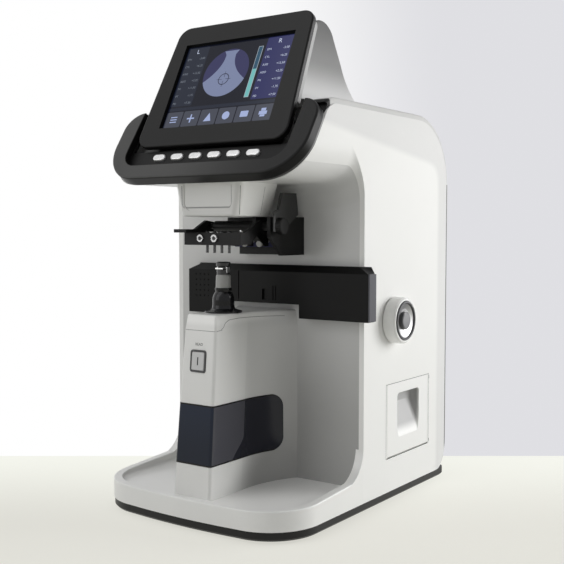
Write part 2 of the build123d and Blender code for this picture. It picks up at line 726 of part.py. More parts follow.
read_face = tower_front(READ_Z)
read_lean = math.degrees(math.atan((TOWER_FRONT_TOP - TOWER_FRONT_BOTTOM) / (TOWER_CAP_Z - 18)))
read_turn = Location((0, read_face, READ_Z), (-read_lean, 0, 0)) * Location((0, -read_face, -READ_Z))
ring = read_block(READ_WIDTH - 0.4, READ_HEIGHT - 0.4, 2.2, read_face - 0.8, read_face + 3.5)
inner_width = READ_WIDTH - 2 * READ_RING
inner_height = READ_HEIGHT - 2 * READ_RING
ring = ring - read_block(inner_width, inner_height, 1.4, read_face - 5, read_face + 9)
save("read_button_ring", read_turn * ring)
button = read_block(inner_width - 0.5, inner_height - 0.5, 1.2, read_face - 1.0, read_face + 5.0)
front_button = [e for e in button.edges() if abs(e.center().Y - read_face + 1.0) < 0.01]
button = rounded(button, front_button, 0.6)
button = button - block(-0.7, 0.7, read_face - 2, read_face - 0.6, READ_Z - 3.6, READ_Z + 3.6)
save("read_button", read_turn * button)
# Nosepiece: plug, wide flange, bell, grey collar and crown with a clip ring
with BuildLine() as nose_line:
    Polyline(
        (NOSE_BORE, TOWER_TOP_Z - NOSE_PLUG_DEPTH), (NOSE_PLUG_RADIUS, TOWER_TOP_Z - NOSE_PLUG_DEPTH),
        (NOSE_PLUG_RADIUS, TOWER_TOP_Z + 0.1), (NOSE_FLANGE_RADIUS, TOWER_TOP_Z + 0.1),
        (NOSE_FLANGE_RADIUS, TOWER_TOP_Z + 1.4), (12.5, TOWER_TOP_Z + 2.6), (10.4, TOWER_TOP_Z + 3.6),
        (NOSE_BELL_RADIUS, 187.5), (NOSE_BELL_RADIUS, 191.5),
    )
    ThreePointArc((NOSE_BELL_RADIUS, 191.5), (8.9, 196.4), (7.0, 199.6))
    Polyline(
        (7.0, 199.6), (7.5, 200.8), (7.5, 203.0), (NOSE_BORE, 203.0),
        (NOSE_BORE, TOWER_TOP_Z - NOSE_PLUG_DEPTH)
    )
nosepiece = revolve(Plane.XZ * make_face(nose_line.line), Axis.Z, 360)
save("nosepiece_base", Location((0, OPTICAL_Y, 0)) * nosepiece)
crown = make_face(Polyline(
    (NOSE_BORE, 203.0), (6.9, 203.0), (6.5, 213.5), (5.8, 214.5), (5.8, 219.0), (5.2, 219.8),
    (5.2, 221.4), (6.4, 222.4),
    (6.4, 225.2), (5.6, NOSE_TOP_Z), (NOSE_BORE + 1.2, NOSE_TOP_Z), (NOSE_BORE, 224.6), close=True
))
crown = revolve(Plane.XZ * crown, Axis.Z, 360)
save("nosepiece_tip", Location((0, OPTICAL_Y, 0)) * crown)

# Lens table: front plate with a sloping lip, end caps, guide rods and rack
plate = block(TABLE_LEFT, TABLE_RIGHT - 1.5, TABLE_FRONT, TABLE_BACK, TABLE_BOTTOM, TABLE_TOP - TABLE_LIP)
lip_low = Location((0, 0, TABLE_TOP - TABLE_LIP)) * make_face(Polyline(
    (TABLE_LEFT, TABLE_FRONT), (TABLE_RIGHT - 1.5, TABLE_FRONT), (TABLE_RIGHT - 1.5, TABLE_BACK),
    (TABLE_LEFT, TABLE_BACK), close=True
))
lip_high = Location((0, 0, TABLE_TOP)) * make_face(Polyline(
    (TABLE_LEFT + 13, TABLE_FRONT + 5), (TABLE_RIGHT - 13, TABLE_FRONT + 5), (TABLE_RIGHT - 5, TABLE_BACK),
    (TABLE_LEFT + 5, TABLE_BACK), close=True
))
table = plate + loft([lip_low, lip_high])
hollow_back = block(TABLE_LEFT + 3, TABLE_RIGHT - 5, TABLE_FRONT + 3, TABLE_BACK + 1, TABLE_BOTTOM + 3, 213)
table = table - (hollow_back - block(-100, 140, 0, 200, 0, NOTCH_TOP + 3) - block(-70, -54, 0, 200, 0, 300)
                 - block(54, 92, 0, 200, 0, 300))
table = table - block(-NOTCH_HALF, NOTCH_HALF, 100, 130, TABLE_BOTTOM - 1, NOTCH_TOP)
table = table - block(5.4, 12.3, 100, TABLE_FRONT + 2, 189.5, 199.5)
for column in range(DIMPLE_COLUMNS):
    for row in range(DIMPLE_ROWS):
        x = -74.5 + column * 5.2
        z = 190.5 + row * 5.2
        table = table - rod_y(0.8, TABLE_FRONT - 1, TABLE_FRONT + 0.6, x, z)
table = table - block(-22.6, -21.6, 100, TABLE_FRONT + 0.8, NOTCH_TOP + 2, TABLE_TOP - TABLE_LIP)
for x in (17.5, 20.5):
    table = table + block(x - 0.5, x + 0.5, TABLE_FRONT - 0.6, TABLE_FRONT + 1, 189.5, 203)
save("lens_table", table)
end_cap = block(
    TABLE_RIGHT - 1.5, TABLE_RIGHT, TABLE_FRONT + 0.4, TABLE_BACK, TABLE_BOTTOM + 0.6,
    TABLE_TOP - TABLE_LIP,
)
save("table_end_cap", end_cap)

rods = None
for side in (-1, 1):
    rod = rod_y(ROD_RADIUS, TABLE_BACK, ROD_BACK, side * ROD_X, ROD_Z)
    rods = rod if rods is None else rods + rod
save("guide_rods", rods)

PITCH_RADIUS = GEAR_MODULE * PINION_TEETH / 2
RACK_Z = KNOB_Z + PITCH_RADIUS
TOOTH_PITCH = math.pi * GEAR_MODULE
rack = block(RACK_X - 3, RACK_X + 3, TABLE_BACK, KNOB_Y + 41, RACK_Z + 1.25 * GEAR_MODULE, RACK_Z + 9)
for index in range(RACK_TEETH):
    y = KNOB_Y + (index - 3) * TOOTH_PITCH
    tooth = side_face([
        (y - 0.36 * TOOTH_PITCH, RACK_Z + 1.3 * GEAR_MODULE),
        (y - 0.12 * TOOTH_PITCH, RACK_Z - 0.85 * GEAR_MODULE),
        (y + 0.12 * TOOTH_PITCH, RACK_Z - 0.85 * GEAR_MODULE),
        (y + 0.36 * TOOTH_PITCH, RACK_Z + 1.3 * GEAR_MODULE),
    ])
    rack = rack + side_prism(tooth, RACK_X - 3, RACK_X + 3)
save("table_rack", rack)

# Knob, its shaft and the pinion


def knob_turned(points):
    face = make_face(Polyline(*points, close=True))
    turned = revolve(Plane.XY * face, Axis.X, 360)
    return Location((0, KNOB_Y, KNOB_Z)) * turned


K0 = HALF_WIDTH + 0.6
K1 = HALF_WIDTH + KNOB_OUT
knob = knob_turned([
    (K0, 5.6), (K0, KNOB_RADIUS - 0.6), (K0 + 0.8, KNOB_RADIUS), (K1 - 1.6, KNOB_RADIUS - 0.3),
    (K1, KNOB_RADIUS - 1.6), (K1, 18.4), (K1 - 4.0, 18.4), (K1 - 4.0, 5.6),
])
save("knob_rim", knob)
ring = knob_turned([
    (K1 - 4.0, 15.6), (K1 - 4.0, 18.3), (K1 + 0.4, 18.3), (K1 + 1.0, 17.6), (K1 + 1.0, 16.4),
    (K1 + 0.4, 15.6),
])
save("knob_ring", ring)
dish = knob_turned([
    (K1 - 4.0, 5.6), (K1 - 4.0, 15.5), (K1 - 0.4, 15.5), (K1 - 2.0, 11.0), (K1 - 2.2, 8.8), (K1 - 2.2, 5.6),
])
save("knob_dish", dish)
hub = knob_turned([
    (K0 - 3, 0), (K0 - 3, 5.0), (K0, 5.0), (K0, 5.6), (K1 - 2.2, 5.6), (K1 - 2.2, 8.6),
    (K1 + 0.6, 8.0), (K1 + 1.2, 7.0), (K1 + 1.2, 0),
])
save("knob_cap", hub)


def pinion_face():
    # tooth outline from a few arcs of the pitch circle
    points = []
    for tooth in range(PINION_TEETH):
        middle = 2 * math.pi * tooth / PINION_TEETH - math.pi / 2 + math.pi / PINION_TEETH
        flank = ((-0.33, -1.2), (-0.24, 0.0), (-0.11, 0.85), (0.11, 0.85), (0.24, 0.0), (0.33, -1.2))
        for share, radius in flank:
            angle = middle + share * 2 * math.pi / PINION_TEETH * 0.94
            r = PITCH_RADIUS + radius * GEAR_MODULE
            points.append((r * math.cos(angle), r * math.sin(angle)))
    return make_face(Polyline(*points, close=True))


pinion_plane = Plane((RACK_X - 4, KNOB_Y, KNOB_Z), x_dir=(0, 1, 0), z_dir=(1, 0, 0))
pinion = extrude(pinion_plane * pinion_face(), amount=8)
save("knob_shaft", pinion + rod_x(4.0, 64, K0 - 3, KNOB_Y, KNOB_Z))

# Upper optics housing under the head, tapering downwards


def nose_section(z, inset):
    share = (z - NOSE_BOTTOM_Z) / (HEAD_BOTTOM - NOSE_BOTTOM_Z)
    half = NOSE_HALF_BOTTOM + (NOSE_HALF_TOP - NOSE_HALF_BOTTOM) * share - inset
    front = NOSE_FRONT - 0.6 * share + inset
    back = NOSE_BACK + 4 * share - inset
    face = make_face(Polyline((-half, front), (half, front), (half, back), (-half, back), close=True))
    return Location((0, 0, z)) * fillet(face.vertices(), 7.0 - inset)


nose = loft([nose_section(NOSE_BOTTOM_Z, 0), nose_section(HEAD_BOTTOM, 0)])
low_edges = [e for e in nose.edges() if abs(e.center().Z - NOSE_BOTTOM_Z) < 0.01]
nose = rounded(nose, low_edges, 2.0)
nose = nose - loft([nose_section(NOSE_BOTTOM_Z + 2.5, 2.5), nose_section(HEAD_BOTTOM + 1, 2.5)])
nose = nose - rod_z(13.0, 250, 275, 0, OPTICAL_Y)
panel_line = side_face([
    (NOSE_FRONT - 3, 271), (NOSE_FRONT + 0.7, 271), (NOSE_FRONT + 0.3, 300), (NOSE_FRONT - 3, 300),
])
panel_cut = side_prism(panel_line, -27, 27)
corner = [e for e in panel_cut.edges().filter_by(Axis.Y) if e.center().Z < 272]
panel_cut = rounded(panel_cut, corner, 8.0)
nose = nose - panel_cut
save("nose_housing", nose)
glass_disc = rod_z(12.9, NOSE_BOTTOM_Z + 0.6, NOSE_BOTTOM_Z + 2.4, 0, OPTICAL_Y)
save("protective_glass", glass_disc)

# Mechanism housing on the column: cheek, inner plate, back and roof
house = block(CHEEK_X, CHEEK_X + CHEEK_THICK, 72, COLUMN_FRONT, 231.5, 265.8)
house = house + block(HOUSE_LEFT, CHEEK_X, 116, COLUMN_FRONT, 231.5, 265.8)
house = house + block(HOUSE_LEFT, CHEEK_X, 98, 116, 262.5, 265.8)
cheek_cut = side_face([(60, 231), (90, 231), (72, 248), (60, 248)])
house = house - side_prism(cheek_cut, 30, 60)
house = house - rod_x(TUBE_RADIUS + RUN_GAP, 30, 60, SHAFT_Y, SHAFT_Z)
inner_plate = side_face([(73, 252), (86, 252), (100, 247), (117, 247), (117, 265.8), (73, 265.8)])
house = house + side_prism(inner_plate, PLATE_X, PLATE_X + CHEEK_THICK)
house = house - rod_x(SHAFT_RADIUS + RUN_GAP, 20, 30, SHAFT_Y, SHAFT_Z)
save("mechanism_housing", house)
pad = block(-23, 23, 108.0, 116, 238.5, 252.5)
save("ink_pad", pad)

# Marker: shaft, carrier and three pens that swing down over the nosepiece
shaft = rod_x(SHAFT_RADIUS, SHAFT_LEFT, CHEEK_X + CHEEK_THICK + 10, SHAFT_Y, SHAFT_Z)
carrier = rod_x(5.0, -22.5, 22.5, SHAFT_Y, SHAFT_Z)
pen_vector = (PEN_Y - SHAFT_Y, PEN_Z - SHAFT_Z)
arm_face = side_face([
    (SHAFT_Y - 2, SHAFT_Z - 4.2), (PEN_Y - 1.5, PEN_Z - 3.6), (PEN_Y + 4, PEN_Z - 3.6),
    (PEN_Y + 4, PEN_Z + 3.6), (SHAFT_Y + 4, SHAFT_Z + 2),
])
for index in range(3):
    x = (index - 1) * PEN_PITCH
    carrier = carrier + side_prism(arm_face, x - 3.6, x + 3.6)
sweep_angle = 2 * math.degrees(math.atan(pen_vector[0] / -pen_vector[1]))
pen_tilt = sweep_angle - 90
pens = None
holes = None
for index in range(3):
    x = (index - 1) * PEN_PITCH
    place = Location((x, PEN_Y, PEN_Z), (pen_tilt, 0, 0))
    pen = rod_y(PEN_RADIUS, -4.5, 7.0, 0, 0)
    pen = pen + rod_y(3.1, -6.5, -4.5, 0, 0)
    pen = pen + Location((0, 8.6, 0), (90, 0, 0)) * Cone(0.6, 1.8, 3.2)
    pen = rounded(pen, [e for e in pen.edges() if abs(e.center().Y + 6.5) < 0.01], 1.0)
    bore = place * (rod_y(PEN_RADIUS, -12, 12, 0, 0) + rod_y(3.4, -14, -4.5, 0, 0))
    pens = place * pen if pens is None else pens + place * pen
    holes = bore if holes is None else holes + bore
carrier = carrier - holes - rod_x(SHAFT_RADIUS, -60, 60, SHAFT_Y, SHAFT_Z)
save("marker_carrier", carrier)
save("marker_pens", pens)
cheek_out = CHEEK_X + CHEEK_THICK
save("marker_shaft", shaft + rod_x(7.0, cheek_out + 4.5, cheek_out + 10, SHAFT_Y, SHAFT_Z))

# Lens press: arms on the same shaft, front plate, pins, finger tab and lever
press = None
for side in (-1, 1):
    x0, x1 = sorted((side * PRESS_ARM_X, side * (PRESS_ARM_X + PRESS_ARM_THICK)))
    arm = side_face([
        (SHAFT_Y - 7, SHAFT_Z - 5), (SHAFT_Y + 5, SHAFT_Z - 5), (SHAFT_Y + 5, SHAFT_Z + 4),
        (SHAFT_Y - 6, SHAFT_Z + 5.5),
        (PRESS_FRONT + 6, 252), (PRESS_FRONT, 252), (PRESS_FRONT, 241.5), (PRESS_FRONT + 14, 241.5),
    ])
    press = side_prism(arm, x0, x1) if press is None else press + side_prism(arm, x0, x1)
press = press + block(-PRESS_ARM_X - PRESS_ARM_THICK, PRESS_ARM_X + PRESS_ARM_THICK,
                      PRESS_FRONT, PRESS_FRONT + 3, 241.0, 252.0)
press = press + block(-17, 17, PRESS_FRONT + 3, PRESS_FRONT + 9.9, 244.5, 250.5)
press = press + block(-PRESS_ARM_X - PRESS_ARM_THICK, -18, 32, PRESS_FRONT + 2, 252.0, 255.0)
press = press + rod_x(TUBE_RADIUS, PRESS_ARM_X, cheek_out + 4, SHAFT_Y, SHAFT_Z)
press = press + rod_x(TUBE_RADIUS, SHAFT_LEFT + 1, -PRESS_ARM_X, SHAFT_Y, SHAFT_Z)
press = press - rod_x(SHAFT_RADIUS + RUN_GAP, -60, 60, SHAFT_Y, SHAFT_Z)
pins = None
for index in range(4):
    x = (index - 1.5) * PIN_PITCH
    pin = rod_z(1.25, 234.0, 252.0, x, PIN_Y) + rod_z(2.0, 250.5, 252.5, x, PIN_Y)
    press = press - rod_z(1.25, 240, 251, x, PIN_Y)
    pins = pin if pins is None else pins + pin
for x in (-12.9, 3.0):
    screw = rod_y(3.3, PRESS_FRONT - 1.6, PRESS_FRONT, x, 247)
    screw = screw - block(x - 4, x + 4, PRESS_FRONT - 2, PRESS_FRONT - 1.0, 246.6, 247.4)
    pins = pins + screw
save("press_frame", press)
save("press_pins", pins)
lever_face = side_face([
    (SHAFT_Y - 5, SHAFT_Z - 5), (SHAFT_Y + 6, SHAFT_Z - 5), (SHAFT_Y + 30, 268), (SHAFT_Y + 27, 287),
    (SHAFT_Y + 6, 287), (SHAFT_Y + 1, 272), (SHAFT_Y - 5, 270),
])
lever = side_prism(lever_face, cheek_out + 0.6, cheek_out + 4)
lever = lever - rod_x(TUBE_RADIUS, 30, 60, SHAFT_Y, SHAFT_Z)
save("press_lever", lever)

# Chassis: floor, upright with cut-outs, board wall, light shelf and shaft bracket
chassis = block(-100, 100, 129, 272, CHASSIS_FLOOR_Z, CHASSIS_FLOOR_Z + 2.5)
chassis = chassis + block(-100, 100, 129, 131.5, CHASSIS_FLOOR_Z, 303)
chassis = chassis + block(-86, -83.5, 131.5, 272, CHASSIS_FLOOR_Z, 215)
chassis = chassis + block(-36, 36, 46, 131.5, 300.5, 303)
chassis = chassis + block(66, 70, 131.5, 190, 160, 182)
chassis = chassis - rod_x(4.0 + RUN_GAP, 60, 75, KNOB_Y, KNOB_Z)
for side in (-1, 1):
    chassis = chassis - rod_y(6.6, 120, 140, side * ROD_X, ROD_Z)
chassis = chassis - block(RACK_X - 6, RACK_X + 6, 120, 140, 176, 197)
chassis = chassis - block(-20, 20, 120, 140, 40, 150)
chassis = chassis - rod_z(11.6, 290, 310, 0, OPTICAL_Y)
for px, py in SCREW_PLACES:
    chassis = chassis - rod_z(SCREW_RADIUS, 5, 20, px, py)
save("chassis_frame", chassis)

bushes = None
for side in (-1, 1):
    bush = rod_y(6.6, 126, 162, side * ROD_X, ROD_Z)
    bush = bush - rod_y(ROD_RADIUS + RUN_GAP, 100, 220, side * ROD_X, ROD_Z)
    bushes = bush if bushes is None else bushes + bush
save("guide_bushes", bushes)

board = block(-90.6, -89, 146, 274, 62, 206)
for bx, bz in ((150, 66), (270, 66), (150, 202), (270, 202)):
    board = board + rod_x(3.0, -89, -86, bx, bz)
board = board + block(-97, -90.6, 190, 222, 120, 152) + block(-100, -90.6, 240, 262, 70, 112)
board = board + block(-95, -90.6, 156, 172, 90, 130)
save("main_board", board)

supply = block(-80, -12, 152, 246, CHASSIS_FLOOR_Z + 2.5, 54)
supply = supply - block(-78.5, -13.5, 153.5, 244.5, CHASSIS_FLOOR_Z + 12, 52.5)
for index in range(7):
    supply = supply - block(-70, -22, 164 + index * 10, 168 + index * 10, 50, 60)
save("power_supply", supply)

light = rod_z(11.5, 268.6, 310, 0, OPTICAL_Y) + rod_z(14.0, 303, 308, 0, OPTICAL_Y)
light = light + block(-14, 14, OPTICAL_Y - 10, OPTICAL_Y + 14, 307, 317)
light = light - rod_z(9.5, 260, 308, 0, OPTICAL_Y)
for index in range(5):
    x = -11 + index * 5.0
    light = light - block(x, x + 2.4, OPTICAL_Y - 20, OPTICAL_Y + 20, 312, 325)
save("light_module", light)

sensor = block(-13, 13, 48, 76, 60, 118) + rod_z(7.5, 118, 175.5, 0, OPTICAL_Y)
sensor = sensor - rod_z(5.5, 116, 180, 0, OPTICAL_Y)
sensor = sensor + block(-13, 13, 76, COLUMN_FRONT - 2.5, 70, 74)
save("sensor_module", sensor)

# Printer: tray, paper roll, rubber roller and door
printer = block(45, 102.8, 169.5, 248.2, 45.5, 109) - block(47, 104, 171.5, 246.2, 47.5, 107)
printer = printer + block(72, 78, 171.5, 246.2, 99, 107)
printer = printer + block(50, 58, 200, 208, CHASSIS_FLOOR_Z + 2.5, 45.5)
printer = printer + block(50, 58, 225, 233, CHASSIS_FLOOR_Z + 2.5, 45.5)
for side in (-1, 1):
    middle = (DOOR_Y0 + DOOR_Y1) / 2
    y0, y1 = sorted((middle + side * (ROLL_WIDTH / 2 - 5), middle + side * 38))
    printer = printer + rod_y(ROLL_BORE - RUN_GAP, y0, y1, ROLL_X, ROLL_Z)
printer = printer - rod_y(2.0 + RUN_GAP, 160, 260, PLATEN_X, PLATEN_Z)
save("printer_frame", printer)
roll_middle = (DOOR_Y0 + DOOR_Y1) / 2
roll = rod_y(ROLL_RADIUS, roll_middle - ROLL_WIDTH / 2, roll_middle + ROLL_WIDTH / 2, ROLL_X, ROLL_Z)
roll = roll - rod_y(ROLL_BORE, 150, 270, ROLL_X, ROLL_Z)
save("paper_roll", roll)
platen = rod_y(4.6, 174, 244, PLATEN_X, PLATEN_Z) + rod_y(2.0, 169.8, 248, PLATEN_X, PLATEN_Z)
save("platen_roller", platen)

door_profile = Plane.XZ * make_face(Polyline(
    (DOOR_HINGE_X - 2, DOOR_HINGE_Z), (HALF_WIDTH, DOOR_HINGE_Z), (HALF_WIDTH, DOOR_Z1 - DOOR_GAP),
    (DOOR_HINGE_X - 2, DOOR_Z1 - DOOR_GAP), close=True
))
door_y0 = DOOR_Y0 + DOOR_GAP
door_y1 = DOOR_Y1 - DOOR_GAP
door = Location((0, door_y1, 0)) * extrude(door_profile, amount=door_y1 - door_y0)
door = door + rod_y(DOOR_THICK / 2, door_y0, door_y1, DOOR_HINGE_X, DOOR_HINGE_Z)


def scoop(grow):
    face = Plane.XZ * make_face(Polyline(
        (HALF_WIDTH + 3, SCOOP_Z0 - grow), (HALF_WIDTH, SCOOP_Z0 - grow),
        (HALF_WIDTH - SCOOP_DEPTH - grow, SCOOP_Z1 - 10), (HALF_WIDTH - SCOOP_DEPTH - grow, SCOOP_Z1 + grow),
        (HALF_WIDTH + 3, SCOOP_Z1 + grow), close=True
    ))
    cut = extrude(face, amount=SCOOP_Y1 - SCOOP_Y0 + 2 * grow)
    cut = Location((0, SCOOP_Y1 + grow, 0)) * cut
    sides = [e for e in cut.edges() if e.center().X < HALF_WIDTH - 1 and e.length > 5]
    return rounded(cut, sides, 4.0)


door = door + (scoop(1.4) & block(90, HALF_WIDTH - 0.5, 100, 300, 40, 120)) - scoop(0)
door = door + rod_y(DOOR_PIN_RADIUS, DOOR_Y0 - 1.6, DOOR_Y1 + 1.6, DOOR_HINGE_X, DOOR_HINGE_Z)
save("printer_door", door)

# Power inlet module and rocker
inlet = block(INLET_LEFT + 0.3, INLET_RIGHT - 0.3, 272, 297, INLET_Z - 10.2, INLET_Z + 10.2)
inlet = inlet + block(INLET_LEFT - 2, INLET_RIGHT + 2, 297, 298.6, INLET_Z - 12.5, INLET_Z + 12.5)
inlet = inlet - block(INLET_X - 12, INLET_X + 12, 283, 300, INLET_Z - 8, INLET_Z + 8)
for dx, dz in ((-7, -2), (7, -2), (0, 2.5)):
    inlet = inlet + block(INLET_X + dx - 1, INLET_X + dx + 1, 280, 292, INLET_Z + dz - 2, INLET_Z + dz + 2)
inlet = inlet - block(SWITCH_X - 7.5, SWITCH_X + 7.5, 279, 300, INLET_Z - 9.8, INLET_Z + 9.8)
inlet = inlet - rod_x(1.2 + RUN_GAP, SWITCH_X - 9, SWITCH_X + 9, ROCKER_Y, INLET_Z)
save("power_inlet", inlet)
rocker = side_prism(side_face([
    (-5, -5), (9.3, -7.5), (8.0, 0), (9.3, 7.5), (-5, 5)
]), SWITCH_X - 7, SWITCH_X + 7)
rocker = Location((0, ROCKER_Y, INLET_Z), (-8, 0, 0)) * rocker
save("power_rocker", rocker + rod_x(1.2, SWITCH_X - 8.7, SWITCH_X + 8.7, ROCKER_Y, INLET_Z))
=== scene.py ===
import math

import bmesh
import bpy
from bpy.props import FloatProperty, FloatVectorProperty, IntProperty, PointerProperty
from mathutils import Matrix, Vector
from mathutils.bvhtree import BVHTree


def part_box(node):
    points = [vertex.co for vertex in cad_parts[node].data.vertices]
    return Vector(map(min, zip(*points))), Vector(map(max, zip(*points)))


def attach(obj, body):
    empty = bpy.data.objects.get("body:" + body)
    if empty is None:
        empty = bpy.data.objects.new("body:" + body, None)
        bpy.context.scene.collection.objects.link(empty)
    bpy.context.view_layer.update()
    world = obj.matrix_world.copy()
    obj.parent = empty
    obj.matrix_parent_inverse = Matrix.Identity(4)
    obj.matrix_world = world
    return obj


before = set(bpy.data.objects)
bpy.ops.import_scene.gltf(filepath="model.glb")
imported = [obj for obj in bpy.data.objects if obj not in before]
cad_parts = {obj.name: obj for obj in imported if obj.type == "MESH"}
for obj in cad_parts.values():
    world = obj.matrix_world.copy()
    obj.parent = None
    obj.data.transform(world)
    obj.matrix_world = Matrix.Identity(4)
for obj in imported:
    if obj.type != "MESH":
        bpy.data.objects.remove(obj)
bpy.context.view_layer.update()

bl_info = {
    "name": "Auto Lensmeter",
    "version": (1, 0, 0),
    "blender": (4, 5, 0),
    "location": "View3D > Sidebar > Lensmeter",
    "description": "Finishes and details of a desk-top lensmeter over its fixed CAD frame",
    "category": "Object",
}

MM = 0.001

# The display's plane: a point of it on the optical plane, and how far it leans back
DISPLAY_ORIGIN = Vector((0.0, -18.5, 338.0)) * MM
DISPLAY_LEAN = math.radians(26.2)
GLASS_DEPTH = 3.05 * MM
SCREEN_HALF = 61.8 * MM
SCREEN_LOW = 6.7 * MM
SCREEN_HIGH = 96.3 * MM

# The picture's sheets: how thick one is, and how far each layer lies above the glass
SHEET = 0.05 * MM
GROUND_LAYER = 0.02 * MM
PANEL_LAYER = 0.06 * MM
BLANK_LAYER = 0.08 * MM
MARK_LAYER = 0.10 * MM
CROSS_LAYER = 0.14 * MM

# The console's face, its lean and how thick its tray is
CONSOLE_Y = -32.0 * MM
CONSOLE_Z = 317.5 * MM
CONSOLE_LEAN = math.radians(33.0)
CONSOLE_DEPTH = 11.2 * MM
TRIM_WIDTH = 1.8 * MM

# The read button's face leans back with the tower's front
READ_CENTRE = Vector((0.0, -34.9, 139.0)) * MM
READ_LEAN = math.radians(5.18)

# Foot of the tower's leaning front, and how far back its flank's first stretch runs, which painted reflection
# lightens
TOWER_FRONT_Y = -45.5 * MM
TOWER_FOOT_Z = 21.5 * MM
TOWER_STRIPE = 44.0 * MM

# The shaft that the press and the marker share
SHAFT_Y = 18.0 * MM
SHAFT_Z = 255.5 * MM

# Heights on the press and the nosepiece
PRESS_SCREW_Z = 245.0 * MM
PRESS_BAR_Z = 250.4 * MM
PIN_PITCH = 8.3 * MM
COLLAR_TOP_Z = 212.6 * MM

# How much brighter than the case colour the lightest mouldings are, as painted light on the lit covers
BRIGHTER = 1.13

# Depth of the plastic's fine grain, and of raised letters
GRAIN_DEPTH = 0.012 * MM
LETTER_DEPTH = 0.04 * MM


# Shader maths

class Wire:
    """One output socket, with the operators that add Math nodes."""

    def __init__(self, shop, socket):
        self.shop = shop
        self.socket = socket

    def __add__(self, other):
        return self.shop.maths("ADD", self, other)

    def __sub__(self, other):
        return self.shop.maths("SUBTRACT", self, other)

    def __rsub__(self, other):
        return self.shop.maths("SUBTRACT", other, self)

    def __mul__(self, other):
        return self.shop.maths("MULTIPLY", self, other)

    def __abs__(self):
        return self.shop.maths("ABSOLUTE", self)

    def __gt__(self, other):
        return self.shop.maths("GREATER_THAN", self, other)

    def __lt__(self, other):
        return self.shop.maths("LESS_THAN", self, other)

    __radd__ = __add__
    __rmul__ = __mul__

    def soft(self, low, high):
        """0 below low, 1 above high, smooth between."""
        values = {"Value": self, "From Min": low, "From Max": high}
        return self.shop.node("ShaderNodeMapRange", {"interpolation_type": "SMOOTHSTEP"}, values)


class Shop:
    """Makes the nodes of one tree."""

    def __init__(self, tree):
        self.tree = tree
        tree.nodes.clear()

    def node(self, kind, settings=None, values=(), output=0):
        """A node's output, from its type, its settings and the values or links of its sockets."""
        made = self.tree.nodes.new(kind)
        for name, value in (settings or {}).items():
            setattr(made, name, value)
        pairs = values.items() if isinstance(values, dict) else enumerate(values)
        for key, value in pairs:
            if isinstance(value, Wire):
                self.tree.links.new(value.socket, made.inputs[key])
            else:
                made.inputs[key].default_value = value
        return Wire(self, made.outputs[output]) if made.outputs else None

    def maths(self, operation, *values):
        return self.node("ShaderNodeMath", {"operation": operation}, values)

    def place(self, axis=None):
        """The point of the surface in the shared frame, or one of its coordinates."""
        point = self.node("ShaderNodeTexCoord", output="Object")
        if axis is None:
            return point
        return self.node("ShaderNodeSeparateXYZ", values=(point,), output="XYZ".index(axis))

    def about(self, centre, across_axis):
        """A point's offsets from a centre, across and up, and its distance from it."""
        across = self.place(across_axis) - centre["XYZ".index(across_axis)]
        upward = self.place("Z") - centre[2]
        return across, upward, self.maths("SQRT", across * across + upward * upward)

    def noise(self, scale, detail=2.0):
        values = {"Vector": self.place(), "Scale": scale, "Detail": detail}
        return self.node("ShaderNodeTexNoise", values=values)

    def blend(self, share, first, second, kind="MIX"):
        """A colour between two colours, or their product."""
        first, second = [value if isinstance(value, Wire) else tinted(value) for value in (first, second)]
        settings = {"data_type": "RGBA", "blend_type": kind}
        return self.node("ShaderNodeMix", settings, {0: share, 6: first, 7: second}, output=2)

    def bump(self, height, depth):
        return self.node("ShaderNodeBump", values={"Height": height, "Distance": depth, "Strength": 1.0})

    def seen(self):
        """1 for a ray that shows a surface to the camera, straight, in a reflection or through glass."""
        kinds = ("Camera", "Glossy", "Transmission")
        rays = [self.node("ShaderNodeLightPath", output=f"Is {kind} Ray") for kind in kinds]
        straight, glossy, through = rays
        return self.maths("MAXIMUM", straight, self.maths("MAXIMUM", glossy, through))

    def surface(self, **sockets):
        """Ends a material's tree in a Principled shader with these values and wires."""
        values = {key.replace("_", " "): value for key, value in sockets.items()}
        shader = self.node("ShaderNodeBsdfPrincipled", values=values)
        self.node("ShaderNodeOutputMaterial", values={"Surface": shader})


def paint_nodes(paint, *names):
    for name in names:
        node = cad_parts[name]
        node.data.materials.clear()
        node.data.materials.append(paint)


def tinted(colour, share=1.0):
    """A colour with its alpha, made darker or brighter by a share. A plain number is a grey."""
    values = (colour,) * 3 if isinstance(colour, float) else colour[:3]
    return (*(value * share for value in values), 1.0)


def material(name, *nodes):
    """A material on some frame nodes, and the shop that fills its empty tree."""
    made = bpy.data.materials.new(name)
    made.use_nodes = True
    paint_nodes(made, *nodes)
    return made, Shop(made.node_tree)


def moulded(name, colour, shade, rough, *nodes, grain=GRAIN_DEPTH, coat=0.0, shine=0.5, part=None):
    """Moulded plastic on some frame nodes: two near colours, a little uneven gloss and a fine grain.

    The part, where given, gets the shop and the plain colour and adds the part's painted light and shade or
    its two tones.
    """
    made, shop = material(name, *nodes)
    slow = shop.noise(9.0)
    base = shop.blend(slow.soft(0.3, 0.7), colour, tinted(colour, shade))
    if part is not None:
        base = part(shop, base)
    spread = 0.06
    shop.surface(
        Base_Color=base, Roughness=rough - spread / 2 + slow * spread,
        Normal=shop.bump(shop.noise(2600.0, 1.0), grain),
        Coat_Weight=coat, Coat_Roughness=0.12, IOR=1.49, Specular_IOR_Level=shine,
    )
    return made


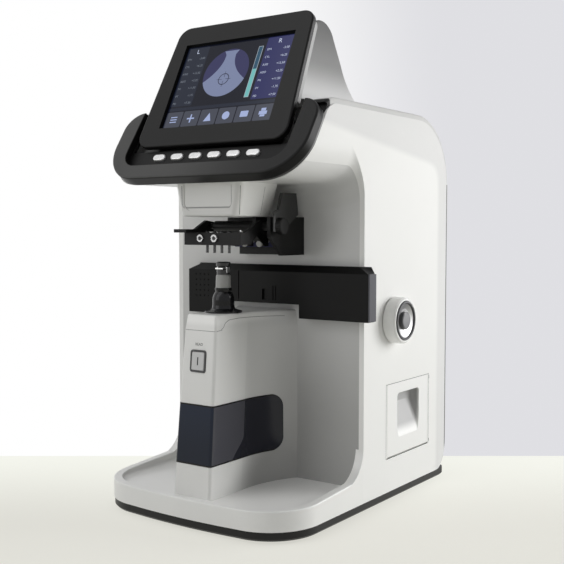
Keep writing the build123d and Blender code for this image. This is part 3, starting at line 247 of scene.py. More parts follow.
def bare_metal(name, colour, rough, *nodes, spread=0.12, stretch=(1.0, 1.0, 1.0), metallic=1.0):
    """Metal with fine tool marks, drawn out along the axis with the smallest stretch."""
    made, shop = material(name, *nodes)
    turned = shop.node("ShaderNodeMapping", values={"Vector": shop.place(), "Scale": stretch})
    marks = shop.node("ShaderNodeTexNoise", values={"Vector": turned, "Scale": 900.0, "Detail": 3.0})
    shop.surface(
        Base_Color=shop.blend(marks.soft(0.25, 0.75), colour, tinted(colour, 0.82)),
        Roughness=rough + marks * spread, Normal=shop.bump(marks, 0.004 * MM), Metallic=metallic,
    )
    return made


def glow(name, colour):
    """A lit patch of the screen, still glossy."""
    made, shop = material(name)
    shop.surface(
        Base_Color=tinted(colour, 0.15), Roughness=0.12, Emission_Color=tinted(colour), Emission_Strength=1.0,
        Specular_IOR_Level=0.15,
    )
    return made


# Settings

class LensmeterColours(bpy.types.PropertyGroup):
    case: FloatVectorProperty(
        name="Case", description="White of the moulded covers", subtype="COLOR", default=(0.84, 0.84, 0.82)
    )
    console_black: FloatVectorProperty(
        name="Console black", description="Black of the console's tray", subtype="COLOR",
        default=(0.1, 0.1, 0.099),
    )
    bezel_black: FloatVectorProperty(
        name="Bezel black", description="Black of the display's bezel", subtype="COLOR",
        default=(0.008, 0.008, 0.008),
    )
    silver_grey: FloatVectorProperty(
        name="Silver grey", description="Trim round the back of the display", subtype="COLOR",
        default=(0.55, 0.55, 0.55),
    )
    band: FloatVectorProperty(
        name="Band", description="Coat of the band over the head", subtype="COLOR", default=(0.7, 0.7, 0.69)
    )
    window: FloatVectorProperty(
        name="Window", description="Tint of the tower's window", subtype="COLOR",
        default=(0.006, 0.011, 0.026),
    )


class LensmeterDetails(bpy.types.PropertyGroup):
    key_count: IntProperty(name="Screen keys", description="Keys along the screen's foot", default=6, min=1)
    row_count: IntProperty(name="Value rows", description="Rows in each column of values", default=7, min=1)
    rib_count: IntProperty(name="Wheel ribs", description="Ribs round the thumb wheel", default=28, min=6)
    screw_radius: FloatProperty(
        name="Rear screws", description="Head radius of the rear cover's screws", default=2.8 * MM,
        subtype="DISTANCE", unit="LENGTH",
    )


class LensmeterStage(bpy.types.PropertyGroup):
    lens: FloatProperty(name="Lens", description="Focal length of the camera in millimetres", default=60.13)
    azimuth: FloatProperty(
        name="Azimuth", description="Where the camera stands round the object", subtype="ANGLE",
        default=math.radians(35.3),
    )
    pitch: FloatProperty(
        name="Pitch", description="How far the camera looks down", subtype="ANGLE", default=math.radians(3.28)
    )
    key_power: FloatProperty(name="Key", description="Power of the lamp behind on the right", default=31.0)
    fill_power: FloatProperty(name="Fill", description="Power of the lamp in front on the left", default=6.5)
    upper_power: FloatProperty(name="Upper", description="Power of the lamp high in front", default=8.0)
    world_level: FloatProperty(name="Surroundings", description="Level of the light all round", default=0.24)
    table_edge: FloatProperty(
        name="Table edge", description="Distance from the camera to the table's back edge", default=1.047,
        subtype="DISTANCE", unit="LENGTH",
    )


# Meshes

def link(name, mesh, paint=None):
    piece = bpy.data.objects.new(name, mesh)
    bpy.context.scene.collection.objects.link(piece)
    if paint is not None:
        mesh.materials.clear()
        mesh.materials.append(paint)
    return piece


def from_bmesh(name, shape, paint=None):
    bmesh.ops.recalc_face_normals(shape, faces=shape.faces)
    mesh = bpy.data.meshes.new(name)
    shape.to_mesh(mesh)
    shape.free()
    return link(name, mesh, paint)


def slab(shape, low, high, axes=Matrix()):
    """Adds a box between two corners, in the axes of a matrix."""
    centre = (Vector(low) + Vector(high)) / 2
    size = Vector(high) - Vector(low)
    turn = axes @ Matrix.Translation(centre) @ Matrix.Diagonal((*size, 1.0))
    bmesh.ops.create_cube(shape, size=1.0, matrix=turn)


def disc(shape, centre, radius, thick, axes=Matrix(), segments=48, top=None):
    """Adds a round plate that stands on the matrix's third axis."""
    turn = axes @ Matrix.Translation(Vector(centre) + Vector((0, 0, thick / 2)))
    bmesh.ops.create_cone(
        shape, cap_ends=True, segments=segments, radius1=radius, radius2=radius if top is None else top,
        depth=thick, matrix=turn,
    )


def sheet(shape, points, axes):
    """Adds one of the picture's thin plates, from an outline in the matrix's first two axes."""
    bottom = [shape.verts.new(axes @ Vector((x, y, 0.0))) for x, y in points]
    top = [shape.verts.new(axes @ Vector((x, y, SHEET))) for x, y in points]
    shape.faces.new(list(reversed(bottom)))
    shape.faces.new(top)
    for index, (low, high) in enumerate(zip(bottom, top)):
        after = (index + 1) % len(points)
        shape.faces.new((low, bottom[after], top[after], high))


def rounded_outline(x0, x1, y0, y1, radius):
    corners = ((x1 - radius, y1 - radius, 0), (x0 + radius, y1 - radius, 90),
               (x0 + radius, y0 + radius, 180), (x1 - radius, y0 + radius, 270))
    steps = 6
    points = []
    for cx, cy, start in corners:
        for step in range(steps + 1):
            angle = math.radians(start + 90 * step / steps)
            points.append((cx + radius * math.cos(angle), cy + radius * math.sin(angle)))
    return points


def plane_matrix(origin, lean, depth=0.0):
    """Axes of a face that leans back: across, up the slope and out of it."""
    across = Vector((1, 0, 0))
    up = Vector((0, math.sin(lean), math.cos(lean)))
    out = Vector((0, -math.cos(lean), math.sin(lean)))
    turn = Matrix((across, up, out)).transposed().to_4x4()
    return Matrix.Translation(Vector(origin) + out * depth) @ turn


def surface_of(*names):
    """A search tree over the faces of some frame nodes."""
    points = []
    faces = []
    for name in names:
        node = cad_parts[name]
        first = len(points)
        points.extend(node.matrix_world @ vertex.co for vertex in node.data.vertices)
        faces.extend([first + index for index in face.vertices] for face in node.data.polygons)
    return BVHTree.FromPolygons(points, faces)


def seam_spots(surface, points, towards):
    """Points on a surface under a line of points in millimetres, 1 mm apart, each with its normal."""
    ways = towards if isinstance(towards, list) else [towards] * len(points)
    spots = []
    for index in range(len(points) - 1):
        first, last = Vector(points[index]) * MM, Vector(points[index + 1]) * MM
        count = max(1, round((last - first).length / MM))
        for part in range(count + (index == len(points) - 2)):
            share = part / count
            way = Vector(ways[index]).lerp(Vector(ways[index + 1]), share).normalized()
            start = first.lerp(last, share) - way * 12 * MM
            hit, normal, _, _ = surface.ray_cast(start, way, 40 * MM)
            if hit is not None:
                spots.append((hit, -normal if normal.dot(way) > 0 else normal))
    return spots


def seam(shape, surface, points, towards, width=0.35 * MM):
    """Adds a thin closed strip that follows a surface below a line of points.

    Each point is dropped onto the surface along its own direction, or along the one that all share.
    """
    spots = seam_spots(surface, points, towards)
    rows = []
    for index, (hit, normal) in enumerate(spots):
        along = spots[min(index + 1, len(spots) - 1)][0] - spots[max(index - 1, 0)][0]
        side = along.cross(normal).normalized() * width / 2
        lift, sink = normal * 0.05 * MM, normal * -0.15 * MM
        corners = (hit - side + lift, hit + side + lift, hit + side + sink, hit - side + sink)
        rows.append([shape.verts.new(corner) for corner in corners])
    for before, after in zip(rows, rows[1:]):
        for index in range(4):
            other = (index + 1) % 4
            shape.faces.new((before[index], before[other], after[other], after[index]))
    shape.faces.new(list(reversed(rows[0])))
    shape.faces.new(rows[-1])


def lettering(name, text, size, place, paint, align="CENTER"):
    """Raised letters as a plain mesh, in the axes of a matrix."""
    curve = bpy.data.curves.new(name, "FONT")
    curve.body = text
    curve.size = size
    curve.align_x = align
    curve.align_y = "CENTER"
    curve.extrude = LETTER_DEPTH / 2
    curve.resolution_u = 3
    holder = bpy.data.objects.new(name, curve)
    bpy.context.scene.collection.objects.link(holder)
    bpy.context.view_layer.update()
    graph = bpy.context.evaluated_depsgraph_get()
    mesh = bpy.data.meshes.new_from_object(holder.evaluated_get(graph))
    bpy.data.objects.remove(holder)
    mesh.transform(place)
    return link(name, mesh, paint)


# Geometry Nodes

def tree_with(name, sockets):
    """A geometry tree with named inputs: the tree, its shop and a wire from each input."""
    tree = bpy.data.node_groups.new(name, "GeometryNodeTree")
    shop = Shop(tree)
    for label, kind in sockets.items():
        tree.interface.new_socket(label, in_out="INPUT", socket_type=f"NodeSocket{kind}")
    tree.interface.new_socket("Geometry", in_out="OUTPUT", socket_type="NodeSocketGeometry")
    entry = tree.nodes.new("NodeGroupInput")
    return tree, shop, {label: Wire(shop, entry.outputs[label]) for label in sockets}


def finish_tree(shop, instances, paint):
    """Ends a tree in Realize Instances and Set Material."""
    real = shop.node("GeometryNodeRealizeInstances", values=(instances,))
    painted = shop.node("GeometryNodeSetMaterial", values={"Geometry": real, "Material": paint})
    shop.node("NodeGroupOutput", values={"Geometry": painted})


def grid_tree():
    """Copies of a shape in columns and rows."""
    tree, shop, given = tree_with("grid_of_shapes", {
        "Shape": "Object", "Columns": "Int", "Rows": "Int", "Start": "Vector", "Column step": "Vector",
        "Row step": "Vector", "Paint": "Material",
    })
    across = shop.node("GeometryNodeMeshLine", values={
        "Count": given["Columns"], "Start Location": given["Start"], "Offset": given["Column step"],
    })
    upward = shop.node("GeometryNodeMeshLine", values={"Count": given["Rows"], "Offset": given["Row step"]})
    columns = shop.node("GeometryNodeInstanceOnPoints", values={"Points": across, "Instance": upward})
    points = shop.node("GeometryNodeRealizeInstances", values=(columns,))
    shape = shop.node("GeometryNodeObjectInfo", values={"Object": given["Shape"]}, output="Geometry")
    copies = shop.node("GeometryNodeInstanceOnPoints", values={"Points": points, "Instance": shape})
    finish_tree(shop, copies, given["Paint"])
    return tree


def ring_tree():
    """Copies of a shape round the X axis."""
    tree, shop, given = tree_with("ring_of_shapes", {
        "Shape": "Object", "Count": "Int", "Centre": "Vector", "Paint": "Material",
    })
    points = shop.node("GeometryNodeMeshLine", values={"Count": given["Count"], "Offset": (0.0, 0.0, 0.0)})
    share = shop.maths("DIVIDE", shop.node("GeometryNodeInputIndex"), given["Count"])
    turn = shop.node("ShaderNodeCombineXYZ", values={"X": share * (2 * math.pi)})
    shape = shop.node("GeometryNodeObjectInfo", values={"Object": given["Shape"]}, output="Geometry")
    copies = shop.node("GeometryNodeInstanceOnPoints", values={
        "Points": points, "Instance": shape, "Rotation": turn,
    })
    placed = shop.node("GeometryNodeTranslateInstances", values={
        "Instances": copies, "Translation": given["Centre"], "Local Space": False,
    })
    finish_tree(shop, placed, given["Paint"])
    return tree


def grown(name, tree, values, body):
    """Runs a tree on an empty mesh, keeps its result as a plain mesh and lets it ride on a body."""
    holder = link(name, bpy.data.meshes.new(name))
    modifier = holder.modifiers.new("grow", "NODES")
    modifier.node_group = tree
    for item in tree.interface.items_tree:
        if item.in_out == "INPUT":
            modifier[item.identifier] = values[item.name]
    holder.update_tag()
    bpy.context.view_layer.update()
    graph = bpy.context.evaluated_depsgraph_get()
    mesh = bpy.data.meshes.new_from_object(holder.evaluated_get(graph), preserve_all_data_layers=True,
                                           depsgraph=graph)
    if not mesh.polygons:
        raise RuntimeError(f"{name}: the tree made nothing")
    holder.modifiers.clear()
    holder.data = mesh
    bpy.data.objects.remove(values["Shape"])
    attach(holder, body)
    return holder


def grid(name, shape, paint, body, start, counts, steps):
    """Copies of a shape from a start point, with a count and a step for the columns and for the rows."""
    tree = bpy.data.node_groups.get("grid_of_shapes") or grid_tree()
    return grown(name, tree, {
        "Shape": from_bmesh(f"{name}_shape", shape), "Columns": counts[0], "Rows": counts[1], "Start": start,
        "Column step": steps[0], "Row step": steps[1], "Paint": paint,
    }, body)


# Helpers for the operators

def colours():
    return bpy.context.scene.lensmeter_colours


def details():
    return bpy.context.scene.lensmeter_details


def carried(piece, body):
    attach(piece, body)


def fitted(name, shape, paint, body):
    """A finished piece that rides on a body."""
    carried(from_bmesh(name, shape, paint), body)


def middle(node):
    low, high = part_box(node)
    return (Vector(low) + Vector(high)) / 2


def facing_front(x, y, z):
    """Axes with the third one towards the front, at a point."""
    return Matrix.Translation((x, y, z)) @ Matrix.Rotation(math.radians(90), 4, "X")


def done(operator, text):
    operator.report({"INFO"}, text)
    return {"FINISHED"}


# Painted shade that more than one part shares, and the measures it uses

def behind_tower_front(shop):
    """How far a point lies behind the tower's leaning front."""
    lean = (shop.place("Z") - TOWER_FOOT_Z) * math.tan(READ_LEAN)
    return shop.place("Y") - TOWER_FRONT_Y - lean


def recess_painted_shade(shop):
    """Painted shade on the bay's inner walls: grey, and darkest at the foot."""
    rise = shop.place("Z").soft(40 * MM, 240 * MM)
    return shop.blend(rise, (0.42, 0.42, 0.41), (0.68, 0.68, 0.67))


def share_of_height(shop, node):
    """0 at a node's foot, 1 at its top."""
    low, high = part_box(node)
    return (shop.place("Z") - low[2]) * (1.0 / (high[2] - low[2]))


# Case

class LENSMETER_OT_case(bpy.types.Operator):
    """Finishes the covers, the base and the feet, and draws the seams between them."""
    bl_idname = "lensmeter.case"
    bl_label = "Case"

    def execute(self, context):
        white = colours().case
        # Painted light: the side panels, base and nose wear a brighter copy of the case white.
        bright = tinted(white, BRIGHTER)
        towers, panels = ("tower_shell", "tower_cap"), ("right_side_panel", "left_side_panel")
        moulded("tower_white", white, 0.975, 0.34, *towers, coat=0.2, part=self.tower_shade)
        moulded("panel_white", bright, 0.985, 0.5, *panels, shine=0.3, part=self.panel_margin_shade)
        moulded("base_white", bright, 0.98, 0.34, "base_cover", coat=0.2)
        moulded("nose_white", bright, 0.98, 0.34, "nose_housing", coat=0.1, part=self.nose_shade)
        moulded("column_white", white, 0.97, 0.36, "column_front_cover", coat=0.1, part=self.column_shade)
        moulded("band_coat", colours().band, 0.94, 0.55, "top_cover", shine=0.15, part=self.band_front)
        moulded("foot_black", 0.012, 0.8, 0.42, "base_pan", shine=0.3)
        moulded("rear_grey", (0.05, 0.05, 0.052), 0.85, 0.5, "rear_cover", grain=0.03 * MM)
        moulded("foot_rubber", 0.02, 0.7, 0.85, "rubber_feet")
        bare_metal("zinc_plate", (0.6, 0.6, 0.57), 0.32, "case_screws", "port_plate")
        lines = bmesh.new()
        self.tower_seams(lines)
        self.nose_seams(lines)
        ticks = self.door_seams(lines)
        fitted("case_seams", lines, moulded("seam_grey", 0.14, 0.9, 0.6, shine=0.2), "case")
        fitted("door_ticks", ticks, moulded("tick_dark", 0.02, 0.9, 0.5), "case")
        return done(self, "case finished")

    def band_front(self, shop, base):
        """The band turns black where it meets the console."""
        return shop.blend(shop.place("Y").soft(9 * MM, 11 * MM), 0.008, base)

    def tower_shade(self, shop, base):
        """Painted shade greys the flank to the back, sooner at its foot; painted light brightens the cap's
        top.
        """
        height = shop.place("Z")
        # Painted reflection: the flank's first stretch stays a little lighter than the rest.
        stretch = behind_tower_front(shop).soft(TOWER_STRIPE, TOWER_STRIPE + MM)
        second = shop.blend(stretch * 0.25, base, (0.6, 0.6, 0.59))
        # Painted light on the cap's top.
        capped = shop.blend(height.soft(168 * MM, 174 * MM), second, (0.95, 0.95, 0.93))
        depth = shop.place("Y") + (1.0 - height.soft(20 * MM, 80 * MM)) * (44 * MM)
        return shop.blend(depth.soft(15 * MM, 62 * MM), capped, recess_painted_shade(shop))

    def nose_shade(self, shop, base):
        """Painted shade: the nose's front panel is a little greyer than its flanks."""
        return shop.blend(shop.place("Y").soft(-21.3 * MM, -19 * MM), (0.7, 0.7, 0.68), base)

    def column_shade(self, shop, base):
        """Painted shade: the column's moulding is greyer in the recess and greyest at its foot."""
        return shop.blend(shop.place("Y").soft(15 * MM, 60 * MM), base, recess_painted_shade(shop))

    def panel_margin_shade(self, shop, base):
        """Painted shade: the side panel turns a little greyer along its back and top margins, where it rolls
        over to the back.
        """
        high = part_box("right_side_panel")[1]
        depth = shop.place("Y")
        back = depth - (high[1] - 20 * MM)
        top = shop.place("Z") + depth * 0.12 - (high[2] - 16 * MM)
        margin = shop.maths("SMOOTH_MAX", back, top, 30 * MM)
        return shop.blend(margin.soft(-5 * MM, 3 * MM) * 0.5, base, 0.66)

    def tower_seams(self, lines):
        """The joint under the tower's cap, across the front and back along both flanks."""
        tower = surface_of("tower_cap", "tower_shell", "tower_window")
        side = ((17.6, -33, 165.4), (19.6, -31, 165.8), (30, -25, 166.6), (30, -21.9, 168.2),
                (30, -19.1, 171.9), (32, -13.6, 174.1), (36, 0.6, 174.7), (38, 33.2, 174.0),
                (38, 53.5, 173.4))
        ways = [(0, 1, 0), (-1, 1, 0)] + [(-1, 0, 0)] * 7
        seam(lines, tower, ((-17.6, -33, 165.4), (17.6, -33, 165.4)), (0, 1, 0))
        for hand in (1, -1):
            seam(lines, tower, [(hand * x, y, z) for x, y, z in side], [(hand * x, y, z) for x, y, z in ways])

    def nose_seams(self, lines):
        """The frame pressed into the nose's front as a grey strip of painted shade with a fine line in its
        groove, and its flank's joints.
        """
        nose = surface_of("nose_housing")
        pressed = ((-28.9, -21.8, 291), (-28.9, -21.8, 275.5), (-28.2, -21.8, 273), (-26, -21.8, 271.8),
                   (23.4, -21.8, 271.8), (25.6, -21.8, 273), (26.3, -21.8, 275.5), (26.3, -21.8, 291))
        # Painted shade: a grey strip along the pressed frame's groove.
        groove = bmesh.new()
        seam(groove, nose, pressed, (0, 1, 0), 1.5 * MM)
        fitted("nose_groove", groove, moulded("groove_shade_grey", (0.5, 0.5, 0.49), 0.95, 0.5), "case")
        seam(lines, nose, pressed, (0, 1, 0), 0.3 * MM)
        seam(lines, nose, ((34.5, -20.5, 265.5), (35.5, -20.5, 290)), (-1, 1.2, 0), 0.4 * MM)
        seam(lines, nose, ((36, 12.1, 265.5), (37, 12.1, 290)), (-1, 0, 0), 0.3 * MM)

    def door_seams(self, lines):
        """The gap round the printer's door. Gives back the two dark ticks behind it."""
        panel = surface_of("right_side_panel")
        low, high = [[value / MM for value in corner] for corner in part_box("printer_door")]
        gap = 0.25
        x, y0, y1, z0, z1 = high[0], low[1] - gap, high[1] + gap, low[2] - gap, high[2] + gap
        corners = ((x, y0, z0), (x, y0, z1), (x, y1, z1), (x, y1, z0), (x, y0, z0))
        for first, last in zip(corners, corners[1:]):
            seam(lines, panel, (first, last), (-1, 0, 0), 0.4 * MM)
        ticks = bmesh.new()
        behind = high[1] + 0.7
        for z in (low[2] + 1.5, high[2] - 4.5):
            seam(ticks, panel, ((x, behind, z), (x, behind, z + 3)), (-1, 0, 0), 1.0 * MM)
        return ticks


class LENSMETER_OT_rear(bpy.types.Operator):
    """Adds the rear cover's screws, and finishes the mains inlet and its switch."""
    bl_idname = "lensmeter.rear"
    bl_label = "Rear fittings"

    def execute(self, context):
        low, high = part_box("rear_cover")
        radius = details().screw_radius
        head = bmesh.new()
        backwards = Matrix.Rotation(math.radians(-90), 4, "X")
        disc(head, (0, 0, -0.4 * MM), radius, 1.3 * MM, backwards, 32, radius * 0.72)
        slot = bmesh.new()
        slab(slot, (-1.6 * MM, 0.75 * MM, -0.3 * MM), (1.6 * MM, 0.93 * MM, 0.3 * MM))
        slab(slot, (-0.3 * MM, 0.75 * MM, -1.6 * MM), (0.3 * MM, 0.93 * MM, 1.6 * MM))
        inset = 5.0 * MM
        start = Vector((low[0] + inset, high[1], low[2] + 3 * inset))
        width, height = high[0] - low[0] - 2 * inset, high[2] - low[2] - 4 * inset
        steps = (Vector((width, 0, 0)), Vector((0, 0, height / 2)))
        for name, shape, paint in (
            ("rear_screws", head, bpy.data.materials["zinc_plate"]),
            ("rear_screw_slots", slot, moulded("screw_slot", 0.01, 0.9, 0.6)),
        ):
            grid(name, shape, paint, "case", start, (2, 3), steps)
        moulded("inlet_black", 0.012, 0.85, 0.38, "power_inlet")
        moulded("rocker_black", 0.01, 0.85, 0.25, "power_rocker")
        return done(self, "rear finished")


# Display

def screen_frame(lift):
    """Axes of a layer of the picture, by its height above the glass."""
    return plane_matrix(DISPLAY_ORIGIN, DISPLAY_LEAN, lift - GLASS_DEPTH)


def screen_layout():
    """Named boxes of the screen, as left, right, low and high in the display's plane."""
    inner = 2.0 * MM
    left, right = -SCREEN_HALF + inner, SCREEN_HALF - inner
    low, high = SCREEN_LOW + inner, SCREEN_HIGH - inner
    keys_high = low + 16 * MM
    column = 25 * MM
    return {
        "ground": (-SCREEN_HALF + MM, SCREEN_HALF - MM, SCREEN_LOW + MM, SCREEN_HIGH - MM),
        "keys": (left, right, low, keys_high),
        "bar": (left, right, keys_high + 1.2 * MM, keys_high + 4.4 * MM),
        "left": (left, left + column, keys_high + 6 * MM, high),
        "right": (right - column - 3 * MM, right, keys_high + 6 * MM, high),
        "gauge": (right - column - 11 * MM, right - column - 6 * MM, keys_high + 9 * MM, high - 8 * MM),
        "target": (-6 * MM, (keys_high + 6 * MM + high) / 2),
    }


def shown(name, shape, paint, colour):
    """A part of the picture in its own lit colour."""
    fitted(name, shape, glow(paint, colour), "display")


def key_sign(shape, index, axes):
    """Adds one key's sign: three bars, a plus, a triangle, a dot, a card, then a printer for the rest."""
    size = 4.2 * MM
    bars = {
        0: [(-3.78, y - 0.5, 3.78, y + 0.5) for y in (-2.52, 0.0, 2.52)],
        1: [(-4.2, -0.7, 4.2, 0.7), (-0.7, 0.71, 0.7, 4.2), (-0.7, -4.2, 0.7, -0.71)],
        5: [(-4.2, -2.1, 4.2, 1.26), (-2.52, 1.47, 2.52, 4.2), (-2.52, -4.2, 2.52, -2.31)],
    }
    for left, low, right, high in bars.get(min(index, 5), ()):
        slab(shape, (left * MM, low * MM, 0), (right * MM, high * MM, SHEET), axes)
    if index == 2:
        sheet(shape, [(-size, -size), (size, -size), (size * 0.2, size)], axes)
    elif index == 3:
        disc(shape, (0, 0, 0), size * 0.95, SHEET, axes, 32)
    elif index == 4:
        sheet(shape, rounded_outline(-size, size, -size * 0.7, size * 0.7, 0.8 * MM), axes)


class LENSMETER_OT_display(bpy.types.Operator):
    """Finishes the display and draws its picture."""
    bl_idname = "lensmeter.display"
    bl_label = "Display"

    def execute(self, context):
        chosen = colours()
        moulded("console_black", chosen.console_black, 0.85, 0.36, "console_frame", grain=0.008 * MM,
                shine=0.12, part=self.console_sides)
        moulded("bezel_black", chosen.bezel_black, 0.85, 0.34, "display_bezel", grain=0.006 * MM, shine=0.16)
        moulded("pedestal_grey", 1.0, 0.96, 0.6, "display_pedestal", shine=0.12, part=self.pedestal_shade)
        moulded("trim_silver", chosen.silver_grey, 0.93, 0.5, "display_back", shine=0.2)
        _, shop = material("screen_glass", "touch_screen")
        smear = shop.noise(40.0)
        shop.surface(
            Base_Color=shop.blend(smear.soft(0.3, 0.7), (0.002, 0.003, 0.006), (0.004, 0.005, 0.009)),
            Roughness=0.1 + smear * 0.05, IOR=1.5, Specular_IOR_Level=0.3,
        )
        keys = [f"menu_button_{number}" for number in range(1, 7)]
        bare_metal("key_caps", 0.86, 0.28, *keys, spread=0.06, metallic=0.5)
        moulded("board_green", (0.02, 0.12, 0.05), 0.8, 0.45, "key_board", "main_board")
        self.picture()
        return done(self, "display finished")

    def console_sides(self, shop, base):
        """Painted reflection darkens the face to the right; the silver side trims get painted shade to their
        foot.
        """
        low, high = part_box("console_frame")
        depth = ((shop.place("Y") - CONSOLE_Y) * math.cos(CONSOLE_LEAN)
                 - (shop.place("Z") - CONSOLE_Z) * math.sin(CONSOLE_LEAN))
        # Painted reflection: the face is lighter on the left and darkens to the right.
        face = shop.blend(shop.place("X").soft(-40 * MM, 90 * MM), base, 0.02)
        front = shop.blend(depth.soft(0.6 * MM, 1.4 * MM), face, 0.009)
        # Painted shade: the silver trims are grey at the top and darken to the foot.
        rise = shop.place("Z").soft(low[2] + 8 * MM, high[2] - 8 * MM)
        trim = shop.blend(rise, 0.1, 0.4)
        outer = abs(shop.place("X")).soft(high[0] - 40 * MM, high[0] - 36 * MM)
        edge = CONSOLE_DEPTH - TRIM_WIDTH
        return shop.blend(depth.soft(edge - 0.2 * MM, edge + 0.2 * MM) * outer, front, trim)

    def pedestal_shade(self, shop, base):
        """Painted shade: the pedestal's grey darkens to its top, darkest under the display's upper edge."""
        rise = share_of_height(shop, "display_pedestal")
        lower = shop.blend(rise.soft(0.0, 0.5), 0.85, 0.34)
        coat = shop.blend(rise.soft(0.4, 1.0), lower, 0.19)
        return shop.blend(1.0, base, coat, "MULTIPLY")

    def picture(self):
        """Everything that the screen shows, in layers over the glass."""
        layout = screen_layout()
        corner = 1.2 * MM
        for name, paint, colour, layer, plates in (
            ("screen_ground", "screen_navy", (0.004, 0.005, 0.012), GROUND_LAYER, {"ground": 1.0 * MM}),
            ("screen_left_panel", "screen_slate", (0.012, 0.016, 0.03), PANEL_LAYER,
             {"left": corner, "bar": corner / 2}),
            ("screen_right_panel", "screen_violet", (0.018, 0.02, 0.09), PANEL_LAYER, {"right": corner}),
        ):
            shape = bmesh.new()
            for plate, radius in plates.items():
                sheet(shape, rounded_outline(*layout[plate], radius), screen_frame(layer))
            shown(name, shape, paint, colour)
        self.target(*layout["target"])
        self.gauge(*layout["gauge"])
        self.keys(*layout["keys"])
        self.values(layout)

    def target(self, x, y):
        """A disc with a lens blank on it, the disc's lower part with a waist above, and a cross in a ring."""
        radius = 25 * MM
        circle = bmesh.new()
        disc(circle, (x, y, 0), radius, SHEET, screen_frame(PANEL_LAYER), 64)
        shown("target_disc", circle, "screen_dusk", (0.03, 0.03, 0.09))

        waist = 5.5 * MM
        angles = [math.radians(200 + 140 * step / 40) for step in range(41)]
        points = [(x + radius * math.cos(angle), y + radius * math.sin(angle)) for angle in angles]
        flank = []
        for step in range(1, 13):
            share = step / 12
            spread = (radius * 0.94 - waist) * (1 - share) ** 2.2 + waist
            flank.append((spread, y - radius * 0.34 + share * radius * 1.1))
        flank.append((waist * 1.5, y + radius * 0.93))
        points += [(x + spread, high) for spread, high in flank]
        points += [(x - spread, high) for spread, high in reversed(flank)]
        blank = bmesh.new()
        sheet(blank, points, screen_frame(BLANK_LAYER))
        shown("target_blank", blank, "screen_haze", (0.17, 0.2, 0.32))

        cross = bmesh.new()
        centre = screen_frame(CROSS_LAYER) @ Matrix.Translation((x, y - 7 * MM, 0))
        ring = 5.6 * MM
        line = 0.35 * MM
        segments = 48
        half = math.pi * ring / segments * 1.05
        for index in range(segments):
            turn = centre @ Matrix.Rotation(2 * math.pi * index / segments, 4, "Z")
            slab(cross, (ring - line, -half, 0), (ring + line, half, SHEET), turn)
        for quarter in range(4):
            turn = centre @ Matrix.Rotation(math.radians(90 * quarter), 4, "Z")
            slab(cross, (2 * MM, -line / 2, 0), (8 * MM, line / 2, SHEET), turn)
        shown("target_cross", cross, "screen_line", (0.01, 0.012, 0.03))

    def gauge(self, x0, x1, y0, y1):
        """An upright gauge, filled to a little over half."""
        inner = 0.5 * MM
        level = y0 + (y1 - y0) * 0.55
        for name, paint, colour, low, high, layer in (
            ("gauge_rim", "screen_pale", (0.35, 0.4, 0.45), (x0, y0), (x1, y1), PANEL_LAYER),
            ("gauge_rest", "screen_deep", (0.02, 0.07, 0.12), (x0 + inner, level), (x1 - inner, y1 - inner),
             MARK_LAYER),
            ("gauge_level", "screen_teal", (0.14, 0.42, 0.42), (x0 + inner, y0 + inner), (x1 - inner, level),
             MARK_LAYER),
        ):
            bar = bmesh.new()
            slab(bar, (*low, 0), (*high, SHEET), screen_frame(layer))
            shown(name, bar, paint, colour)

    def keys(self, x0, x1, y0, y1):
        """A row of soft keys, each with a plain sign."""
        count = details().key_count
        gap = 1.2 * MM
        width = (x1 - x0 - gap * (count - 1)) / count
        plane = screen_frame(PANEL_LAYER)
        turn = plane.to_3x3()
        tile = bmesh.new()
        sheet(tile, rounded_outline(0, width, 0, y1 - y0, 1.2 * MM), turn.to_4x4())
        tiles = grid("screen_keys", tile, glow("screen_key", (0.05, 0.055, 0.075)), "display",
                     plane @ Vector((x0, y0, 0)), (count, 1), (turn @ Vector((width + gap, 0, 0)), Vector()))
        icons = bmesh.new()
        for index in range(count):
            centre = (x0 + index * (width + gap) + width / 2, (y0 + y1) / 2, 0)
            key_sign(icons, index, screen_frame(MARK_LAYER) @ Matrix.Translation(centre))
        shown("key_icons", icons, "screen_icon", (0.32, 0.38, 0.6))

    def values(self, layout):
        """A column of names and invented readings for each side, under its letter."""
        bright = glow("screen_text", (0.5, 0.55, 0.7))
        dim = glow("screen_dim", (0.16, 0.18, 0.22))
        names = ("SPH", "CYL", "AXIS", "ADD", "PX", "PY", "PD")
        rows = details().row_count
        margin = 2 * MM
        for side, title, paint in (("left", "L", dim), ("right", "R", bright)):
            x0, x1, y0, y1 = layout[side]
            step = (y1 - y0) / (rows + 1)
            words = [(f"title_{side}", title, 6.4, (x0 + x1) / 2, y1 - step * 0.62, bright, "CENTER")]
            for index in range(rows):
                y = y1 - step * (index + 1.6)
                reading = f"{(index * 37 % 90) / 4 - 3:+.2f}"
                label = names[index % len(names)]
                words.append((f"name_{side}_{index}", label, 3.0, x0 + margin, y, paint, "LEFT"))
                words.append((f"value_{side}_{index}", reading, 3.2, x1 - margin, y, paint, "RIGHT"))
            for name, text, size, x, y, ink, align in words:
                axes = screen_frame(MARK_LAYER) @ Matrix.Translation((x, y, 0))
                carried(lettering(name, text, size * MM, axes, ink, align), "display")


# Tower, window and nosepiece

